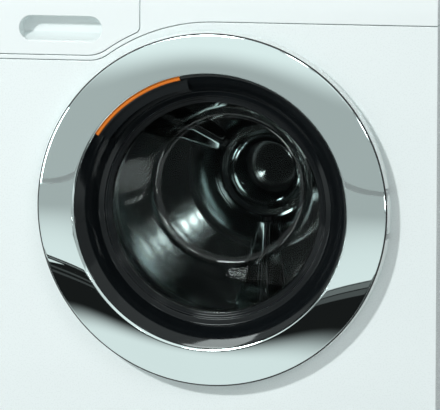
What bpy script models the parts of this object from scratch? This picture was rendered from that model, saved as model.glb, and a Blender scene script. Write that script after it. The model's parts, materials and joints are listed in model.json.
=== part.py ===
"""Front-loading washing machine, drawn as the separate pieces it comes apart into.

Metres, +Z up, front faces -Y. The origin is the middle of the footprint on the floor.
Depths inside the machine count from the face of the front panel, positive inwards.
"""
import math

import bmesh
import bpy
from mathutils import Matrix, Vector

# Overall sizes
WIDTH = 0.596
HEIGHT = 0.850
DEPTH = 0.636
DOOR_PROUD = 0.041
REAR_PROUD = 0.018
DOOR_Z = 0.432

# Gaps and walls that many pieces share
SEAT = 0.0003
SEAM = 0.0010
PLAY = 0.0006
OVERRUN = 0.0040
SHEET = 0.0010
WELD = 0.00001
RETURN = 0.0200

# Facets of round pieces, counted per turn
DOOR_STEPS = 40
DRUM_STEPS = 32
TUB_STEPS = 28
MEDIUM_STEPS = 16
SMALL_STEPS = 12
SHARP_ANGLE = math.radians(32)

# Base, feet and casing
FOOT_HEIGHT = 0.020
FOOT_R = 0.022
FOOT_PAD = 0.008
FOOT_NECK_R = 0.009
FOOT_STEM_R = 0.005
FOOT_STEM = 0.016
FOOT_INSET = 0.048
TRAY_WALL = 0.003
TRAY_HEIGHT = 0.040
CASE_BOTTOM = 0.022
PLINTH_TOP = 0.098
PLINTH_BACKSET = 0.003
PLINTH_WALL = 0.0015
LID_THICK = 0.030
LID_OVERHANG = 0.004
LID_EDGE = 0.004
ACCESS_R = 0.160
ACCESS_LAP = 0.014
ACCESS_DISH = 0.006

# Front panel and control fascia
BEND_Z = 0.700
FASCIA_SLOPE_DEPTH = 0.019
FASCIA_BACK = 0.042
FASCIA_WALL = 0.0025
LEFT_SEAM_Z = 0.626
SEAM_ARC_R = 0.2485
SEAM_FILLET = 0.016
PANEL_HOLE_R = 0.175
PANEL_COLLAR = 0.008

# Detergent drawer and its housing
DRAWER_MARGIN = 0.0055
DRAWER_RIGHT = -0.1002
DRAWER_TOP_MARGIN = 0.008
DRAWER_WALL = 0.003
DRAWER_CORNER = 0.005
DRAWER_FRONT_DEPTH = 0.031
TRAY_LOW_Z = 0.697
TRAY_TALL = 0.094
TRAY_INSET = 0.005
TRAY_LENGTH = 0.185
TRAY_SKIN = 0.002
HOUSING_WALL = 0.0025
HOUSING_PLAY = 0.0012
DRAWER_TRAVEL = 0.180
GRIP_CENTRE_X = -0.2083
GRIP_CENTRE_Z = 0.6675
GRIP_WIDE = 0.1124
GRIP_TALL = 0.0336
GRIP_DEPTH = 0.025
GRIP_LEDGE = 0.0139
SIPHON_WIDE = 0.034
SIPHON_TALL = 0.058

# Controls on the slanted part of the fascia
KNOB_X = -0.022
KNOB_R = 0.027
KNOB_SKIRT = 0.0045
KNOB_HIGH = 0.020
SHAFT_R = 0.003
DISPLAY_X = 0.112
DISPLAY_WIDE = 0.110
DISPLAY_TALL = 0.038
LENS_THICK = 0.0012
BUTTON_R = 0.0085
BUTTON_PROUD = 0.0022
BUTTON_TRAVEL = 0.0018
BUTTON_FLANGE = 0.0018
START_X = 0.206
POWER_X = 0.248
CONTROL_Z = 0.759
BOARD_THICK = 0.0016
BOARD_TALL = 0.074
BOARD_BACK = 0.0110
POST_R = 0.003

# Door, radii about its centre and depths from the panel
RIM_R = 0.240
RIM_CHAMFER_R = 0.011
RIM_CHAMFER = 0.0044
RIM_FRONT = 0.021
RIM_BEVEL = 0.003
DOOR_CLEAR = 0.0006
RING_R = 0.2338
RING_EDGE = 0.0244
RING_HEM = 0.0024
LIP_R = 0.1852
LIP_FILLET = 0.0028
LIP_RETURN = 0.0012
RING_WALL = 0.0020
FACE_BULGE = 0.0016
THROAT_R = 0.1568
THROAT_DEPTH = -0.0010
BELL_R = 0.1680
BELL_DEPTH = -0.0215
STEP_R = 0.1495
STEP_DEPTH = 0.0010
BEZEL_WALL = 0.0025
FRAME_WALL = 0.0025
COLLAR_R = 0.167
COLLAR_DEPTH = 0.012
KEEPER_R = 0.1485
GLASS_R = 0.142
GLASS_FRONT = 0.0042
GLASS_WALL = 0.005
BOWL_R = 0.109
BOWL_FILLET = 0.015
BOWL_DEPTH = 0.115
BOWL_RISE = 0.0125
ACCENT_START = math.radians(102.5)
ACCENT_SWEEP = math.radians(44)
ACCENT_WIDE = 0.0030
ACCENT_TALL = 0.0024
FINGER_START = math.radians(101)
FINGER_SWEEP = math.radians(44)
FINGER_R = 0.2045
FINGER_FRONT = 0.0290
FINGER_BACK = 0.0115

# Door hinge, catch and lock
HINGE_X = 0.230
HINGE_DEPTH = -0.015
PIN_R = 0.0025
PIN_PLAY = 0.0003
KNUCKLE_R = 0.0050
BARREL_HALF = 0.026
LUG_THICK = 0.006
LUG_PLAY = 0.0010
LUG_WIDE = 0.008
LUG_ROOT_X = 0.218
HINGE_PLATE = 0.003
HINGE_PLATE_HALF = 0.050
HINGE_PLATE_WIDE = 0.034
ARM_THICK = 0.003
ARM_END_X = 0.173
ARM_BEND_X = 0.205
ARM_RISE_X = 0.213
CATCH_X = -0.205
CATCH_THICK = 0.006
CATCH_HALF = 0.006
CATCH_REACH = 0.020
CATCH_NOSE = 0.005
CATCH_NOSE_LONG = 0.007
CATCH_FOOT = 0.0026
CATCH_SLOT_PLAY = 0.0030
LOCK_HALF_WIDE = 0.018
LOCK_HALF_TALL = 0.045
LOCK_DEEP = 0.034
LOCK_WALL = 0.006

# Gasket between the front panel and the tub
GASKET_WALL = 0.0025
GASKET_LIP_R = 0.1483
GASKET_LIP_DEPTH = 0.019
FOLD_R = 0.187
FOLD_DEPTH = 0.0405
FOLD_HALF = 0.0055
TUB_COLLAR_R = 0.166
TUB_COLLAR_FRONT = 0.0495

# Tub, weights and bearing
TUB_FRONT = 0.062
TUB_R = 0.262
TUB_WALL = 0.003
TUB_CORNER = 0.012
TUB_SEAM = 0.232
TUB_FLANGE = 0.009
TUB_FLANGE_DEEP = 0.006
TUB_BACK = 0.417
TUB_SHOULDER = 0.004
HUB_R = 0.034
HUB_BACK = 0.442
RING_WEIGHT_IN_R = 0.194
RING_WEIGHT_OUT_R = 0.238
RING_WEIGHT_FRONT = 0.022
RING_WEIGHT_SWEEP = math.radians(312)
TOP_WEIGHT_X = 0.030
TOP_WEIGHT_HALF = 0.120
TOP_WEIGHT_FRONT = 0.246
TOP_WEIGHT_LONG = 0.150
TOP_WEIGHT_Z = 0.752
TOP_WEIGHT_LOW_Z = 0.670
WELL_HALF = 0.048
WELL_FRONT = 0.249
WELL_LONG = 0.096
WELL_Z = 0.146
OUTLET_R = 0.018
OUTLET_BORE = 0.014
OUTLET_LONG = 0.014
OUTLET_DEPTH = 0.290
HEATER_R = 0.0035
HEATER_HALF = 0.016
HEATER_Z = 0.158
HEATER_PLATE = 0.004
HEATER_WINDOW_HALF = 0.026
HEATER_WINDOW_TALL = 0.014

# Drum, shaft and pulley
DRUM_R = 0.240
DRUM_FRONT = 0.075
DRUM_BACK = 0.396
DRUM_WALL = 0.0015
DRUM_MOUTH_R = 0.150
DRUM_CORNER = 0.004
DRUM_HUB_R = 0.066
DRUM_HUB_RISE = 0.008
LIFTER_COUNT = 3
LIFTER_PHASE = math.radians(-90)
LIFTER_HALF = 0.032
LIFTER_CREST = 0.007
LIFTER_TALL = 0.052
LIFTER_FRONT = 0.100
LIFTER_LONG = 0.268
SPIDER_THICK = 0.010
SPIDER_HUB_R = 0.042
SPIDER_REACH = 0.214
SPIDER_ROOT_HALF = 0.024
SPIDER_TIP_HALF = 0.013
AXLE_R = 0.0125
AXLE_END = 0.494
BOLT_R = 0.009
BOLT_HIGH = 0.006
PULLEY_R = 0.150
PULLEY_WIDE = 0.014
PULLEY_DEPTH = 0.475
PULLEY_RIM = 0.006
PULLEY_HUB_R = 0.026
SPOKE_COUNT = 6
SPOKE_HALF = 0.007
SPOKE_THICK = 0.006

# Motor and belt
MOTOR_X = 0.150
MOTOR_Z = 0.135
MOTOR_R = 0.058
MOTOR_FRONT = 0.337
MOTOR_LONG = 0.130
MOTOR_BELL = 0.012
MOTOR_EAR_FRONT = 0.362
MOTOR_EAR_LONG = 0.040
MOTOR_EAR_HALF = 0.008
MOTOR_EAR_Z = 0.190
MOTOR_EAR_REACH = 0.030
MOTOR_BORE_DEEP = 0.012
SPINDLE_R = 0.006
MOTOR_PULLEY_R = 0.0125
BELT_WIDE = 0.011
BELT_THICK = 0.003
BELT_STEPS = 26

# Suspension
SPRING_X = 0.225
SPRING_DEPTH = 0.262
SPRING_R = 0.013
SPRING_WIRE_R = 0.00175
SPRING_TURNS = 7
SPRING_POINTS = 8
SPRING_LOW_Z = 0.585
SPRING_TOP_Z = 0.790
HOOK_R = 0.006
HOOK_STEPS = 6
HOOK_RISE = 0.016
SPRING_LUG_THICK = 0.004
SPRING_LUG_HALF = 0.010
SPRING_HOLE_R = 0.004
SPRING_LUG_MARGIN = 0.005
HOOK_PLAY = 0.0009
HANGER_Z = 0.797
HANGER_THICK = 0.003
DAMPER_BEHIND_SEAM = 0.055
DAMPER_FOOT_X = 0.215
DAMPER_FOOT_Z = 0.085
DAMPER_HEAD_X = 0.170
DAMPER_HEAD_Z = 0.218
DAMPER_R = 0.013
DAMPER_BORE_R = 0.0059
DAMPER_ROD_R = 0.005
DAMPER_EYE_R = 0.009
DAMPER_EYE_HALF = 0.007
DAMPER_PIN_R = 0.004
DAMPER_PIN_PLAY = 0.0004
DAMPER_NECK_START = 0.007
DAMPER_NECK_R = 0.0065
DAMPER_SLEEVE_START = 0.016
DAMPER_SLEEVE_END = 0.092
DAMPER_BORE_START = 0.030
DAMPER_ROD_START = 0.046
EAR_THICK = 0.003
EAR_HALF = 0.011
EAR_MARGIN = 0.010

# Water parts
PUMP_X = 0.170
PUMP_Z = 0.060
PUMP_R = 0.031
PUMP_FRONT = 0.0253
PUMP_LONG = 0.070
PUMP_MOTOR_R = 0.024
PUMP_MOTOR_LONG = 0.050
PUMP_BORE_R = 0.027
PUMP_BORE_DEEP = 0.044
PUMP_INLET_DEPTH = 0.085
PUMP_INLET_X = 0.132
PUMP_FOOT_HALF = 0.018
CAP_R = 0.029
CAP_THICK = 0.0055
CAP_BAR_HALF = 0.005
CAP_BAR_HIGH = 0.007
STRAINER_R = 0.0255
STRAINER_LONG = 0.036
STRAINER_SLOT = 0.006
NOTCH_HALF = 0.036
HOSE_R = 0.0175
HOSE_BORE_R = 0.0125
HOSE_RIB = 0.86
HOSE_RIBS = 12
HOSE_ROUTE_SHARES = ((0.03, 0.06, 0.45), (0.12, 0.22, 0.06), (0.27, 0.50, 0.0), (0.43, 0.78, 0.0),
                     (0.55, 0.93, 0.0))
VALVE_X = 0.205
VALVE_BELOW_TOP = 0.062
VALVE_R = 0.0132
VALVE_BORE_R = 0.009
VALVE_HALF = 0.018
VALVE_LONG = 0.034
THREAD_PITCH = 0.0034
THREAD_COUNT = 3
THREAD_DEPTH = 0.0012
SPOUT_X = -0.200
SPOUT_DEPTH = 0.187
SPOUT_R = 0.014
SPOUT_BORE_R = 0.011
SPOUT_TIP_Z = 0.632
SPOUT_TUB_Z = 0.598
SPOUT_LONG = 0.014
BELLOWS_R = 0.019
BELLOWS_WALL = 0.0020
BELLOWS_COUNT = 4

# Service flap in the plinth
FLAP_HALF_WIDE = 0.060
FLAP_LOW_Z = 0.031
FLAP_TOP_Z = 0.089
FLAP_THICK = 0.003
FLAP_CORNER = 0.006
FLAP_PLAY = 0.0015
FLAP_AXIS_Z = 0.0345
FLAP_PIN_R = 0.0011
FLAP_PIN_PLAY = 0.0003
FLAP_LUG = 0.005

# Places worked out from the sizes above
PANEL_Y = DOOR_PROUD - DEPTH / 2
BACK_Y = DEPTH / 2 - REAR_PROUD
HALF = WIDTH / 2
LID_Z = HEIGHT - LID_THICK
CASE_TOP = LID_Z - SEAT
FASCIA_TILT = math.atan2(FASCIA_SLOPE_DEPTH, LID_Z - BEND_Z)
RIGHT_SEAM_Z = DOOR_Z + SEAM_ARC_R
INSIDE_X = HALF - SHEET
SIDE_FRONT_Y = PANEL_Y + RETURN + SEAT
SIDE_BACK_Y = BACK_Y - SHEET - SEAT
DOOR_CENTRE = (0.0, DOOR_Z)
DAMPER_DEPTH = TUB_SEAM + DAMPER_BEHIND_SEAM
VALVE_Z = HEIGHT - VALVE_BELOW_TOP

WHITE = (0.80, 0.88, 0.88, 1.0)
SILVER = (0.62, 0.68, 0.67, 1.0)
BRIGHT = (0.78, 0.80, 0.80, 1.0)
BLACK = (0.012, 0.014, 0.016, 1.0)
GREY = (0.32, 0.34, 0.35, 1.0)
DARK_GREY = (0.10, 0.12, 0.13, 1.0)
ORANGE = (0.67, 0.19, 0.01, 1.0)
GLASS_TINT = (0.80, 0.88, 0.88, 1.0)
STEEL = (0.55, 0.57, 0.58, 1.0)
CONCRETE = (0.42, 0.41, 0.39, 1.0)
BOARD_GREEN = (0.03, 0.20, 0.09, 1.0)
RUBBER = (0.05, 0.055, 0.06, 1.0)
PALE_RUBBER = (0.38, 0.40, 0.41, 1.0)
ALLOY = (0.60, 0.61, 0.62, 1.0)

AXES = {"X": (1, 2, 0), "Y": (0, 2, 1), "Z": (0, 1, 2)}


def deep(depth):
    """Y of a place that lies this far behind the face of the front panel."""
    return PANEL_Y + depth


def clear_scene():
    for item in list(bpy.data.objects):
        bpy.data.objects.remove(item, do_unlink=True)


def make_material(name, colour, roughness, metallic):
    material = bpy.data.materials.new(name)
    material.use_nodes = True
    shader = material.node_tree.nodes["Principled BSDF"]
    shader.inputs["Base Color"].default_value = colour
    shader.inputs["Roughness"].default_value = roughness
    shader.inputs["Metallic"].default_value = metallic
    material.diffuse_color = colour
    return material


def pivot(name, place, carrier=None, turn=0.0):
    """An empty on a joint's axis. `turn` tilts it about X."""
    empty = bpy.data.objects.new(name, None)
    bpy.context.collection.objects.link(empty)
    empty.parent = carrier
    whole = Matrix.Translation(place) @ Matrix.Rotation(turn, 4, "X")
    if carrier:
        whole = carrier.matrix_world.inverted() @ whole
    empty.matrix_basis = whole
    bpy.context.view_layer.update()
    return empty


def piece(name, shape, colour, roughness, metallic, carrier=None):
    """Turn a finished shape, drawn in the machine's frame, into one named object."""
    bmesh.ops.remove_doubles(shape, verts=shape.verts, dist=WELD)
    bmesh.ops.recalc_face_normals(shape, faces=shape.faces)
    if carrier:
        bmesh.ops.transform(shape, matrix=carrier.matrix_world.inverted(), verts=shape.verts)
    mesh = bpy.data.meshes.new(name)
    shape.to_mesh(mesh)
    shape.free()
    mesh.shade_smooth()
    mesh.set_sharp_from_angle(angle=SHARP_ANGLE)
    mesh.materials.append(make_material(name, colour, roughness, metallic))
    thing = bpy.data.objects.new(name, mesh)
    thing.parent = carrier
    bpy.context.collection.objects.link(thing)
    return thing


def work(target, shape, operation, label):
    """Cut, fuse or trim a piece with another shape, kept as a hidden wire object."""
    name = target.name + "_" + label
    tool = piece(name, shape, GREY, 0.5, 0.0, target.parent)
    tool.hide_render = True
    tool.display_type = "WIRE"
    step = target.modifiers.new(label, "BOOLEAN")
    step.operation = operation
    step.solver = "EXACT"
    step.object = tool
    return step


def cut(target, shape, label):
    return work(target, shape, "DIFFERENCE", label)


def fuse(target, shape, label):
    return work(target, shape, "UNION", label)


def keep(target, shape, label):
    return work(target, shape, "INTERSECT", label)


def gathered(shapes):
    """Several shapes that don't meet, as one."""
    whole = bmesh.new()
    for shape in shapes:
        bmesh.ops.recalc_face_normals(shape, faces=shape.faces)
        mesh = bpy.data.meshes.new("gathered")
        shape.to_mesh(mesh)
        shape.free()
        whole.from_mesh(mesh)
        bpy.data.meshes.remove(mesh)
    return whole


def block(low, high):
    middle = (Vector(low) + Vector(high)) / 2
    size = Vector(high) - Vector(low)
    shape = bmesh.new()
    place = Matrix.Translation(middle) @ Matrix.Diagonal(size).to_4x4()
    bmesh.ops.create_cube(shape, size=1, matrix=place)
    return shape


def bar(start, end, radius, steps=SMALL_STEPS):
    """A round bar from one point to another."""
    run = Vector(end) - Vector(start)
    turn = Vector((0, 0, 1)).rotation_difference(run).to_matrix().to_4x4()
    place = Matrix.Translation((Vector(start) + Vector(end)) / 2) @ turn
    shape = bmesh.new()
    bmesh.ops.create_cone(shape, cap_ends=True, segments=steps, radius1=radius, radius2=radius,
                          depth=run.length, matrix=place)
    return shape


def prism(outline, along, low, high):
    """Extrude a closed outline along an axis. Its points are (y, z), (x, z) or (x, y)."""
    first, second, third = AXES[along]
    shape = bmesh.new()
    ring = []
    for across, up in outline:
        place = [0.0, 0.0, 0.0]
        place[first] = across
        place[second] = up
        place[third] = low
        ring.append(shape.verts.new(place))
    face = shape.faces.new(ring)
    grown = bmesh.ops.extrude_face_region(shape, geom=[face])
    shift = Vector((0, 0, 0))
    shift[third] = high - low
    moved = [item for item in grown["geom"] if isinstance(item, bmesh.types.BMVert)]
    bmesh.ops.translate(shape, verts=moved, vec=shift)
    return shape


def turned(profile, steps, centre=(0.0, 0.0), along="Y", start=0.0, sweep=math.tau):
    """Spin a closed outline of (radius, place along the axis) points.

    The axis runs through `centre`: (x, z) where it lies along Y, (x, y) where it is upright.
    """
    shape = bmesh.new()
    if along == "Y":
        points = [(radius, place, 0) for radius, place in profile]
        axis = Vector((0, -1, 0))
        middle = Vector((centre[0], 0, centre[1]))
    else:
        points = [(radius, 0, place) for radius, place in profile]
        axis = Vector((0, 0, 1))
        middle = Vector((centre[0], centre[1], 0))
    verts = [shape.verts.new(point) for point in points]
    edges = []
    for (near, near_vert), (far, far_vert) in zip(zip(profile, verts),
                                                  zip(profile[1:] + profile[:1], verts[1:] + verts[:1])):
        if near[0] > 0 or far[0] > 0:
            edges.append(shape.edges.new((near_vert, far_vert)))
    turn = Matrix.Rotation(start, 3, axis)
    bmesh.ops.rotate(shape, cent=(0, 0, 0), matrix=turn, verts=verts)
    whole_turn = sweep == math.tau
    bmesh.ops.spin(shape, geom=verts + edges, cent=(0, 0, 0), axis=axis, angle=sweep,
                   steps=steps, use_merge=whole_turn)
    bmesh.ops.translate(shape, vec=middle, verts=shape.verts)
    bmesh.ops.remove_doubles(shape, verts=shape.verts, dist=WELD)
    if not whole_turn:
        bmesh.ops.holes_fill(shape, edges=shape.edges, sides=0)
    return shape


def parallel(path, distance, closed=False):
    """The path moved to its left by a distance, with mitred corners."""
    count = len(path)
    moved = []
    for index, point in enumerate(path):
        here = Vector(point)
        runs = []
        if closed or index > 0:
            runs.append((here - Vector(path[index - 1])).normalized())
        if closed or index < count - 1:
            runs.append((Vector(path[(index + 1) % count]) - here).normalized())
        normals = [Vector((-run.y, run.x)) for run in runs]
        mitre = sum(normals, Vector((0, 0))).normalized()
        moved.append(tuple(here + mitre * (distance / mitre.dot(normals[0]))))
    return moved


def strip(path, wall):
    """Closed outline of a bent strip whose wall lies to the left of the path."""
    return list(path) + parallel(path, wall)[::-1]


def arc(centre, radius, start, end, steps):
    """Points of an arc, angles in degrees from +X."""
    points = []
    for index in range(steps + 1):
        angle = math.radians(start + (end - start) * index / steps)
        points.append((centre[0] + radius * math.cos(angle), centre[1] + radius * math.sin(angle)))
    return points


def rounded_box(low, high, radius, steps=3):
    """Outline of a rectangle with round corners."""
    left, bottom = low[0] + radius, low[1] + radius
    right, top = high[0] - radius, high[1] - radius
    return (arc((right, bottom), radius, -90, 0, steps) + arc((right, top), radius, 0, 90, steps)
            + arc((left, top), radius, 90, 180, steps) + arc((left, bottom), radius, 180, 270, steps))


def tube(points, radius, scales=None, sides_step=1):
    """A round tube with capped ends along points, as a shape."""
    curve = bpy.data.curves.new("tube", "CURVE")
    curve.dimensions = "3D"
    curve.bevel_depth = radius
    curve.bevel_resolution = sides_step
    curve.use_fill_caps = True
    curve.twist_mode = "MINIMUM"
    line = curve.splines.new("POLY")
    line.points.add(len(points) - 1)
    for index, point in enumerate(points):
        line.points[index].co = (*point, 1.0)
        line.points[index].radius = scales[index] if scales else 1.0
    holder = bpy.data.objects.new("tube", curve)
    bpy.context.collection.objects.link(holder)
    bpy.context.view_layer.update()
    solid = holder.evaluated_get(bpy.context.evaluated_depsgraph_get())
    mesh = bpy.data.meshes.new_from_object(solid)
    shape = bmesh.new()
    shape.from_mesh(mesh)
    bmesh.ops.remove_doubles(shape, verts=shape.verts, dist=WELD)
    bpy.data.objects.remove(holder, do_unlink=True)
    bpy.data.curves.remove(curve)
    bpy.data.meshes.remove(mesh)
    return shape


def smooth_route(knots, count):
    """Points of a smooth curve through the knots, with its first and last stretch straight."""
    marks = [Vector(knot) for knot in knots]
    spans = len(marks) - 3
    route = [marks[0]]
    for index in range(count + 1):
        place = min(index * spans / count, spans - WELD)
        span = int(place)
        share = place - span
        before, start, end, after = marks[span:span + 4]
        route.append(0.5 * (2 * start + (end - before) * share
                            + (2 * before - 5 * start + 4 * end - after) * share ** 2
                            + (3 * start - before - 3 * end + after) * share ** 3))
    return route + [marks[-1]]


def seam_curve(lift):
    """The fascia's lower seam, left to right, lifted by a distance.

    It runs level on the left, climbs on an arc about the door, and ends level on the right.
    """
    radius = SEAM_ARC_R + lift
    left_z = LEFT_SEAM_Z + lift
    corner_angle = math.degrees(math.acos(-math.sqrt(radius ** 2 - (left_z - DOOR_Z) ** 2) / radius))
    fillet_angle = math.degrees(SEAM_FILLET / radius)
    corner = (radius * math.cos(math.radians(corner_angle)), left_z)
    climb = arc(DOOR_CENTRE, radius, corner_angle - fillet_angle, 90, 10)
    bend_start = Vector((corner[0] - SEAM_FILLET, left_z))
    bend_end = Vector(climb[0])
    bend = []
    for share in (0.0, 0.25, 0.5, 0.75):
        bend.append(tuple((1 - share) ** 2 * bend_start + 2 * share * (1 - share) * Vector(corner)
                          + share ** 2 * bend_end))
    return [(-HALF, left_z)] + bend + climb + [(HALF, DOOR_Z + radius)]


def fascia_y(z):
    """Y of the fascia's face at a height."""
    return PANEL_Y + max(0.0, z - BEND_Z) * math.tan(FASCIA_TILT)


def slanted(x, z):
    """Frame on the slanted face: local Z points out of it, local Y climbs it."""
    return Matrix.Translation((x, fascia_y(z), z)) @ Matrix.Rotation(math.pi / 2 - FASCIA_TILT, 4, "X")


def on_slant(shape, x, z):
    bmesh.ops.transform(shape, matrix=slanted(x, z), verts=shape.verts)
    return shape


def side_outline(back, skin):
    """Side view of the front face, from its lowest edge to the lid, closed at the back."""
    low = LEFT_SEAM_Z - OVERRUN
    face = [(PANEL_Y, low), (PANEL_Y, BEND_Z), (fascia_y(CASE_TOP), CASE_TOP)]
    inner = parallel(face, -skin)
    return [inner[0], inner[1], inner[2], (back, CASE_TOP), (back, low)]


def make_base_tray():
    x = INSIDE_X - SEAT
    front = SIDE_FRONT_Y + SHEET + SEAT
    back = SIDE_BACK_Y - SHEET - SEAT
    top = FOOT_HEIGHT + TRAY_HEIGHT
    floor = FOOT_HEIGHT + TRAY_WALL
    tray = piece("base_tray", block((-x, front, FOOT_HEIGHT), (x, back, top)), DARK_GREY, 0.6, 0.0)
    cut(tray, block((TRAY_WALL - x, front + TRAY_WALL, floor),
                    (x - TRAY_WALL, back - TRAY_WALL, top + OVERRUN)), "hollow")
    holes = []
    for foot_x, foot_y in foot_places():
        holes.append(bar((foot_x, foot_y, FOOT_HEIGHT - OVERRUN), (foot_x, foot_y, floor + OVERRUN),
                         FOOT_STEM_R + PLAY))
    holes.append(block((PUMP_X - NOTCH_HALF, front - OVERRUN, floor),
                       (PUMP_X + NOTCH_HALF, front + TRAY_WALL + OVERRUN, top + OVERRUN)))
    cut(tray, gathered(holes), "foot_holes_and_pump_notch")
    for side in (-1, 1):
        name = "ears_left" if side < 0 else "ears_right"
        fuse(tray, damper_ears(side * DAMPER_FOOT_X, DAMPER_FOOT_Z, floor - TRAY_WALL / 2), name)
    return tray


def damper_ears(x, z, root_z):
    """Two ears and the pin between them, reaching from a root to just past the pin."""
    middle = deep(DAMPER_DEPTH)
    inner = DAMPER_EYE_HALF + PLAY
    outer = inner + EAR_THICK
    tip_z = z + math.copysign(EAR_MARGIN, z - root_z)
    ears = []
    for near, far in ((-outer, -inner), (inner, outer)):
        ears.append(block((x - EAR_HALF, middle + near, min(root_z, tip_z)),
                          (x + EAR_HALF, middle + far, max(root_z, tip_z))))
    whole = gathered(ears)
    pin = bar((x, middle - inner - EAR_THICK / 2, z), (x, middle + inner + EAR_THICK / 2, z), DAMPER_PIN_R)
    holder = piece("ears", whole, GREY, 0.5, 0.0)
    fuse(holder, pin, "pin")
    return shape_of(holder)


def shape_of(holder):
    """The finished shape of a helper object, which is then removed with its tools."""
    bpy.context.view_layer.update()
    mesh = bpy.data.meshes.new_from_object(holder.evaluated_get(bpy.context.evaluated_depsgraph_get()))
    shape = bmesh.new()
    shape.from_mesh(mesh)
    bpy.data.meshes.remove(mesh)
    for step in list(holder.modifiers):
        bpy.data.objects.remove(step.object, do_unlink=True)
    bpy.data.objects.remove(holder, do_unlink=True)
    return shape


def foot_places():
    x = HALF - FOOT_INSET
    return [(side * x, y) for y in (PANEL_Y + FOOT_INSET, BACK_Y - FOOT_INSET) for side in (-1, 1)]


def make_feet():
    names = ["foot_front_left", "foot_front_right", "foot_rear_left", "foot_rear_right"]
    seat = FOOT_HEIGHT - SEAT
    profile = [(0.0, 0.0), (FOOT_R - SEAM, 0.0), (FOOT_R, SEAM), (FOOT_R, FOOT_PAD - SEAM),
               (FOOT_R - SEAM, FOOT_PAD), (FOOT_NECK_R, FOOT_PAD), (FOOT_NECK_R, seat),
               (FOOT_STEM_R, seat), (FOOT_STEM_R, seat + FOOT_STEM), (0.0, seat + FOOT_STEM)]
    for name, place in zip(names, foot_places()):
        piece(name, turned(profile, SMALL_STEPS, place, "Z"), RUBBER, 0.8, 0.0)


def make_side_panels():
    for side, name in ((-1, "side_panel_left"), (1, "side_panel_right")):
        path = [(side * (HALF - RETURN), SIDE_FRONT_Y), (side * HALF, SIDE_FRONT_Y),
                (side * HALF, SIDE_BACK_Y), (side * (HALF - RETURN), SIDE_BACK_Y)]
        outline = strip(path, side * SHEET)
        panel = piece(name, prism(outline, "Z", CASE_BOTTOM, CASE_TOP), WHITE, 0.35, 0.0)
        fuse(panel, spring_hanger(side), "hanger")
        seam_z = LEFT_SEAM_Z if side < 0 else RIGHT_SEAM_Z
        ends = sorted((side * (HALF - RETURN - OVERRUN), side * (HALF + OVERRUN)))
        cut(panel, block((ends[0], SIDE_FRONT_Y - OVERRUN, seam_z - SEAT),
                         (ends[1], PANEL_Y + FASCIA_BACK + SEAT, CASE_TOP + OVERRUN)), "fascia_notch")


def spring_plate(side, low_z, top_z, hole_z):
    """The upright plate that a spring hooks into."""
    x = side * SPRING_X
    y = deep(SPRING_DEPTH)
    plate = piece("plate", block((x - SPRING_LUG_THICK / 2, y - SPRING_LUG_HALF, low_z),
                                 (x + SPRING_LUG_THICK / 2, y + SPRING_LUG_HALF, top_z)), GREY, 0.5, 0.0)
    cut(plate, bar((x - SPRING_LUG_THICK, y, hole_z), (x + SPRING_LUG_THICK, y, hole_z),
                   SPRING_HOLE_R), "hole")
    return shape_of(plate)


def spring_hanger(side):
    """Bracket that reaches in from the side panel and carries the spring."""
    hole_z = SPRING_TOP_Z + SPRING_HOLE_R - SPRING_WIRE_R - HOOK_PLAY
    plate = spring_plate(side, hole_z - SPRING_HOLE_R - SPRING_LUG_MARGIN + SEAT,
                         HANGER_Z + HANGER_THICK / 2, hole_z)
    y = deep(SPRING_DEPTH)
    ends = sorted((side * (HALF - SHEET / 2), side * (SPRING_X - SPRING_LUG_THICK)))
    arm = block((ends[0], y - SPRING_LUG_HALF, HANGER_Z),
                (ends[1], y + SPRING_LUG_HALF, HANGER_Z + HANGER_THICK))
    holder = piece("hanger", arm, GREY, 0.5, 0.0)
    fuse(holder, plate, "plate")
    return shape_of(holder)


def make_rear_panel():
    sheet = piece("rear_panel", block((-HALF, BACK_Y - SHEET, CASE_BOTTOM), (HALF, BACK_Y, CASE_TOP)),
                  SILVER, 0.45, 0.6)
    holes = [bar((0, BACK_Y - OVERRUN, DOOR_Z), (0, BACK_Y + OVERRUN, DOOR_Z), ACCESS_R, TUB_STEPS),
             bar((VALVE_X, BACK_Y - OVERRUN, VALVE_Z), (VALVE_X, BACK_Y + OVERRUN, VALVE_Z),
                 VALVE_R + SEAM, MEDIUM_STEPS)]
    cut(sheet, gathered(holes), "openings")
    lap = BACK_Y + SEAT
    path = [(0.0, lap + ACCESS_DISH), (ACCESS_R - ACCESS_LAP, lap + ACCESS_DISH),
            (ACCESS_R, lap + SHEET), (ACCESS_R + ACCESS_LAP, lap + SHEET)]
    piece("rear_access_cover", turned(strip(path, -SHEET), TUB_STEPS, DOOR_CENTRE), SILVER, 0.4, 0.6)


def make_worktop_lid():
    low = (-HALF, fascia_y(LID_Z) - LID_OVERHANG, LID_Z)
    lid = piece("worktop_lid", block(low, (HALF, BACK_Y, HEIGHT)), WHITE, 0.35, 0.0)
    edge = lid.modifiers.new("edge", "BEVEL")
    edge.width = LID_EDGE
    return lid


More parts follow.
